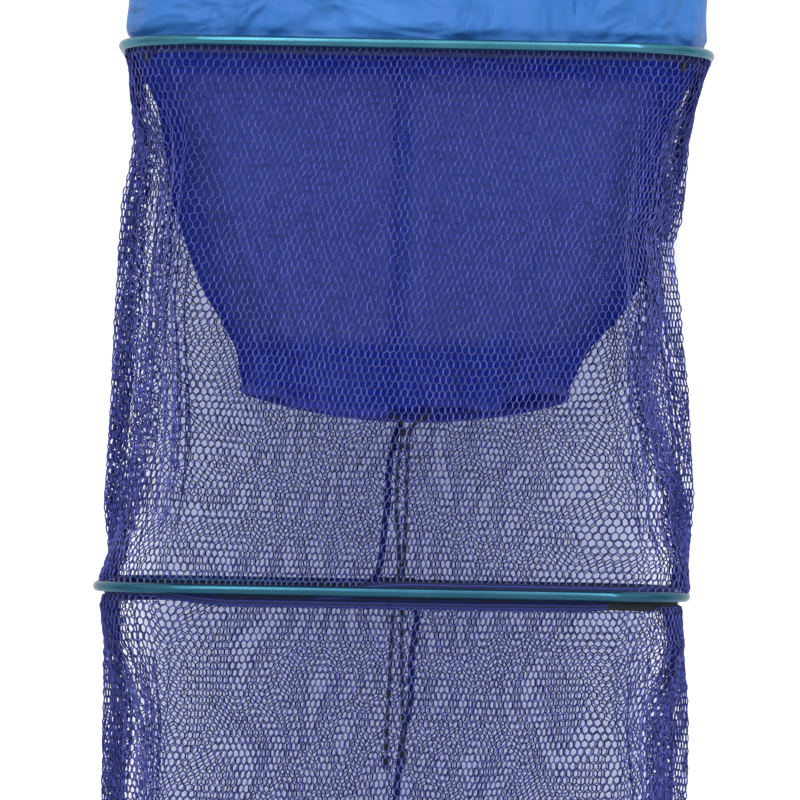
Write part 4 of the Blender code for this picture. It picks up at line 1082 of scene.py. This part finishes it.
# The facing carries no paleness, so it takes the darkest, painted-shade tone.
facing = new_piece("throat_hem_facing", points, faces, fine_mesh, 0 * points[:, :2])
hang_in_throat(facing, "throat_net")


# Throat hem and drawcord: the hem is the mesh's own edge turned up round the drawcord and sewn, and the
# cord comes out of it on both sides of the front's middle.

throat_hem_cloth = finish("throat_hem_cloth", (0.007, 0.030, 0.38), 0.65)
hem_stitch = texture(throat_hem_cloth, "ShaderNodeTexWave", 400, uv=True, Distortion=0.8)
tint(throat_hem_cloth, hem_stitch.outputs["Fac"], (0.004, 0.022, 0.33), (0.012, 0.040, 0.44))
grain(throat_hem_cloth, hem_stitch.outputs["Fac"], 0.0003, 0.7)


def tube_along(name, line, radius, made, sides=10, capped=True):
    """A round tube that follows a line of points, with its length kept for the pattern on it."""
    line = np.asarray(line, float)
    ahead = np.gradient(line, axis=0)
    ahead /= np.linalg.norm(ahead, axis=1, keepdims=True)
    side = np.cross(ahead[0], (0, 1, 0.01))
    radius = np.broadcast_to(radius, (len(line),))
    turns = np.linspace(0, 2 * pi, sides, endpoint=False)
    points = []
    for here, forward, thick in zip(line, ahead, radius):
        side = side - forward * side.dot(forward)
        side /= np.linalg.norm(side)
        up = np.cross(forward, side)
        points += [here + thick * (cos(t) * side + sin(t) * up) for t in turns]
    run = np.concatenate(([0], np.cumsum(np.linalg.norm(np.diff(line, axis=0), axis=1))))
    uv = np.stack(np.meshgrid(run, turns * 0.001, indexing="ij"), -1).reshape(-1, 2)
    piece = new_piece(name, points, woven_grid(len(line), sides, True), made, uv)
    if capped:
        bpy.ops.object.select_all(action="DESELECT")
        bpy.context.view_layer.objects.active = piece
        piece.select_set(True)
        bpy.ops.object.mode_set(mode="EDIT")
        bpy.ops.mesh.select_all(action="SELECT")
        bpy.ops.mesh.fill_holes(sides=sides)
        bpy.ops.object.mode_set(mode="OBJECT")
    return piece


CORD_RADIUS = 0.0014
HEM_RADIUS, HEM_LIP, HEM_OPENING = 0.0023, 0.0058, 0.0150

# The hem follows the sleeve's own edge, from one side of the cord's opening in the front to the other.
edge_share = np.linspace(0.5, 1.5, 700)
edge = throat_surface(edge_share % 1, np.ones_like(edge_share), folds=())
edge[:, 2] -= 0.0048
edge = edge[np.hypot(edge[:, 0], edge[:, 1] - edge[0, 1]) > HEM_OPENING]
hem_fold = tube_along("throat_hem_fold", edge, HEM_RADIUS, throat_hem_cloth, sides=12, capped=False)
lip_points = np.stack((edge, edge + (0, 0, HEM_LIP)), 0).reshape(-1, 3)
lip_uv = np.stack(np.meshgrid(np.arange(len(edge)) * 0.0011, (0, HEM_LIP)), -1).reshape(-1, 2)
hem_lip = new_piece("throat_hem_lip", lip_points, woven_grid(2, len(edge)), throat_hem_cloth, lip_uv)
for piece in (hem_fold, hem_lip):
    hang_in_throat(piece, "throat_hem")

braid = finish("black_braid", (0.010, 0.012, 0.022), 0.6)
plait = texture(braid, "ShaderNodeTexWave", 520, uv=True, Distortion=2.0, Detail=1)
tint(braid, plait.outputs["Fac"], (0.006, 0.007, 0.014), (0.020, 0.023, 0.040))
grain(braid, plait.outputs["Fac"], 0.0004, 0.8)

# Each free end's route, from where it leaves the hem down to its knot.
drawcords = (
    ("left", (
        (-0.0107, -0.19941, -0.39605), (-0.0075, -0.19941, -0.39695), (-0.0051, -0.19961, -0.39925),
        (-0.0042, -0.19981, -0.40285), (-0.0046, -0.19981, -0.40805), (-0.0064, -0.19981, -0.42005),
        (-0.0078, -0.19971, -0.43605), (-0.0076, -0.19941, -0.46205), (-0.0054, -0.19901, -0.49405),
        (-0.0074, -0.19901, -0.52005), (-0.0094, -0.19941, -0.54105), (-0.0104, -0.20001, -0.57605),
        (-0.0116, -0.20041, -0.60805), (-0.0120, -0.20041, -0.62505))),
    ("right", (
        (0.0107, -0.19941, -0.39605), (0.0075, -0.19941, -0.39695), (0.0045, -0.19961, -0.39905),
        (0.0020, -0.19971, -0.40205), (0.0002, -0.19981, -0.40655), (-0.0008, -0.19991, -0.41405),
        (-0.0010, -0.20001, -0.42905), (-0.0013, -0.20041, -0.46605), (-0.0021, -0.20061, -0.49405),
        (-0.0027, -0.20041, -0.52605), (-0.0024, -0.20001, -0.55605), (-0.0012, -0.19941, -0.59105),
        (-0.0004, -0.19941, -0.61105), (-0.0003, -0.19941, -0.62005))),
)

cord_ends = [np.array([route[0]]) for _, route in drawcords]
cord_ends.sort(key=lambda end: abs(end[0, 0] - edge[0, 0]))
hem_cord = tube_along("drawcord_run", np.vstack((cord_ends[0], edge[8:-8], cord_ends[1])), CORD_RADIUS, braid, sides=8)
hang_in_throat(hem_cord, "drawcord_in_hem")


def smooth_line(route, step):
    """Points about a step apart on a smooth curve through the route's own points."""
    route = np.asarray(route, float)
    ends = np.vstack((2 * route[0] - route[1], route, 2 * route[-1] - route[-2]))
    line = []
    for before, here, there, after in zip(ends, ends[1:], ends[2:], ends[3:]):
        bend, twist = 2 * before - 5 * here + 4 * there - after, 3 * here - before - 3 * there + after
        count = max(1, round(np.linalg.norm(there - here) / step))
        line += [0.5 * (2 * here + (there - before) * t + bend * t**2 + twist * t**3) for t in np.arange(count) / count]
    line.append(route[-1])
    return np.array(line)


# An overhand knot's loops round its own middle, drawn tight, and the short tail below it.
turn = np.linspace(0.35, 2 * pi - 0.05, 90)
knot_loops = np.stack((
    np.sin(turn) + 2 * np.sin(2 * turn), np.sin(3 * turn) * 0.9, np.cos(turn) - 2 * np.cos(2 * turn)
), -1) * (0.00085, 0.0012, 0.00165)
knot_tail = np.outer(np.linspace(0.1, 1, 8), (0.0012, 0, -0.0042))

for side, route in drawcords:
    line = smooth_line(route, 0.0016)
    uneven = 1 + 0.10 * np.sin(np.arange(len(line)) * 0.9)
    cord = tube_along(f"drawcord_end_{side}", line, CORD_RADIUS * uneven, braid, sides=12)
    knot_line = np.array(route[-1]) - (0, 0, 0.0062) + knot_loops
    knot_line = np.vstack((knot_line, knot_line[-1] + knot_tail))
    knot = tube_along(f"drawcord_knot_{side}", knot_line, CORD_RADIUS * 0.95, braid, sides=10)
    hang_in_throat(cord, f"drawcord_{side}")
    hang_in_throat(knot, f"cord_knot_{side}")


# Floor: a flat piece of the same netting is stretched across the last ring and caught under its tape, and closes
# the net's bottom.

FLOOR_X, FLOOR_Z = RING_PLACES[4][0], RING_PLACES[4][1] - 0.0092
FLOOR_CELL, FLOOR_ROW = 0.0042, 0.0047
FLOOR_CELLS, FLOOR_ROWS = 92, 62


def floor_surface(share, part):
    """The floor's place at a share of the way across and a part of the way back."""
    x = (share - 0.5) * FLOOR_CELLS * FLOOR_CELL
    y = (part - 0.5) * FLOOR_ROWS * FLOOR_ROW
    sag = -0.0008 + 0.0006 * np.cos(x * 21) * np.cos(y * 26)
    return np.stack((FLOOR_X + x, NET_AXIS_Y + y, FLOOR_Z + sag), -1)


def within_floor(points, inset=0.0066):
    """Which points lie inside the tape of the last ring."""
    aside = np.maximum(np.abs(points[:, 0] - FLOOR_X) - (HALF_WIDTH - CORNER), 0)
    away = np.maximum(np.abs(points[:, 1] - NET_AXIS_Y) - (HALF_DEPTH - CORNER), 0)
    return np.hypot(aside, away) <= CORNER - inset


floor_strands = []
for near_ends, far_ends in hexagon_strands(floor_surface, FLOOR_CELLS, FLOOR_ROWS):
    kept = within_floor(near_ends) | within_floor(far_ends)
    floor_strands.append((near_ends[kept], far_ends[kept]))
# Its threads carry the same painted highlight and painted shade, the highlight here along their undersides.
points, faces, pale = threads(
    floor_strands, (0.00050, 0.00064), lambda middles: np.tile((0.0, 0.0, -1.0), (len(middles), 1))
)
floor_mesh = new_piece("floor_netting", points, faces, netting, pale)
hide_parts("floor_net")
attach(floor_mesh, "ring_4")
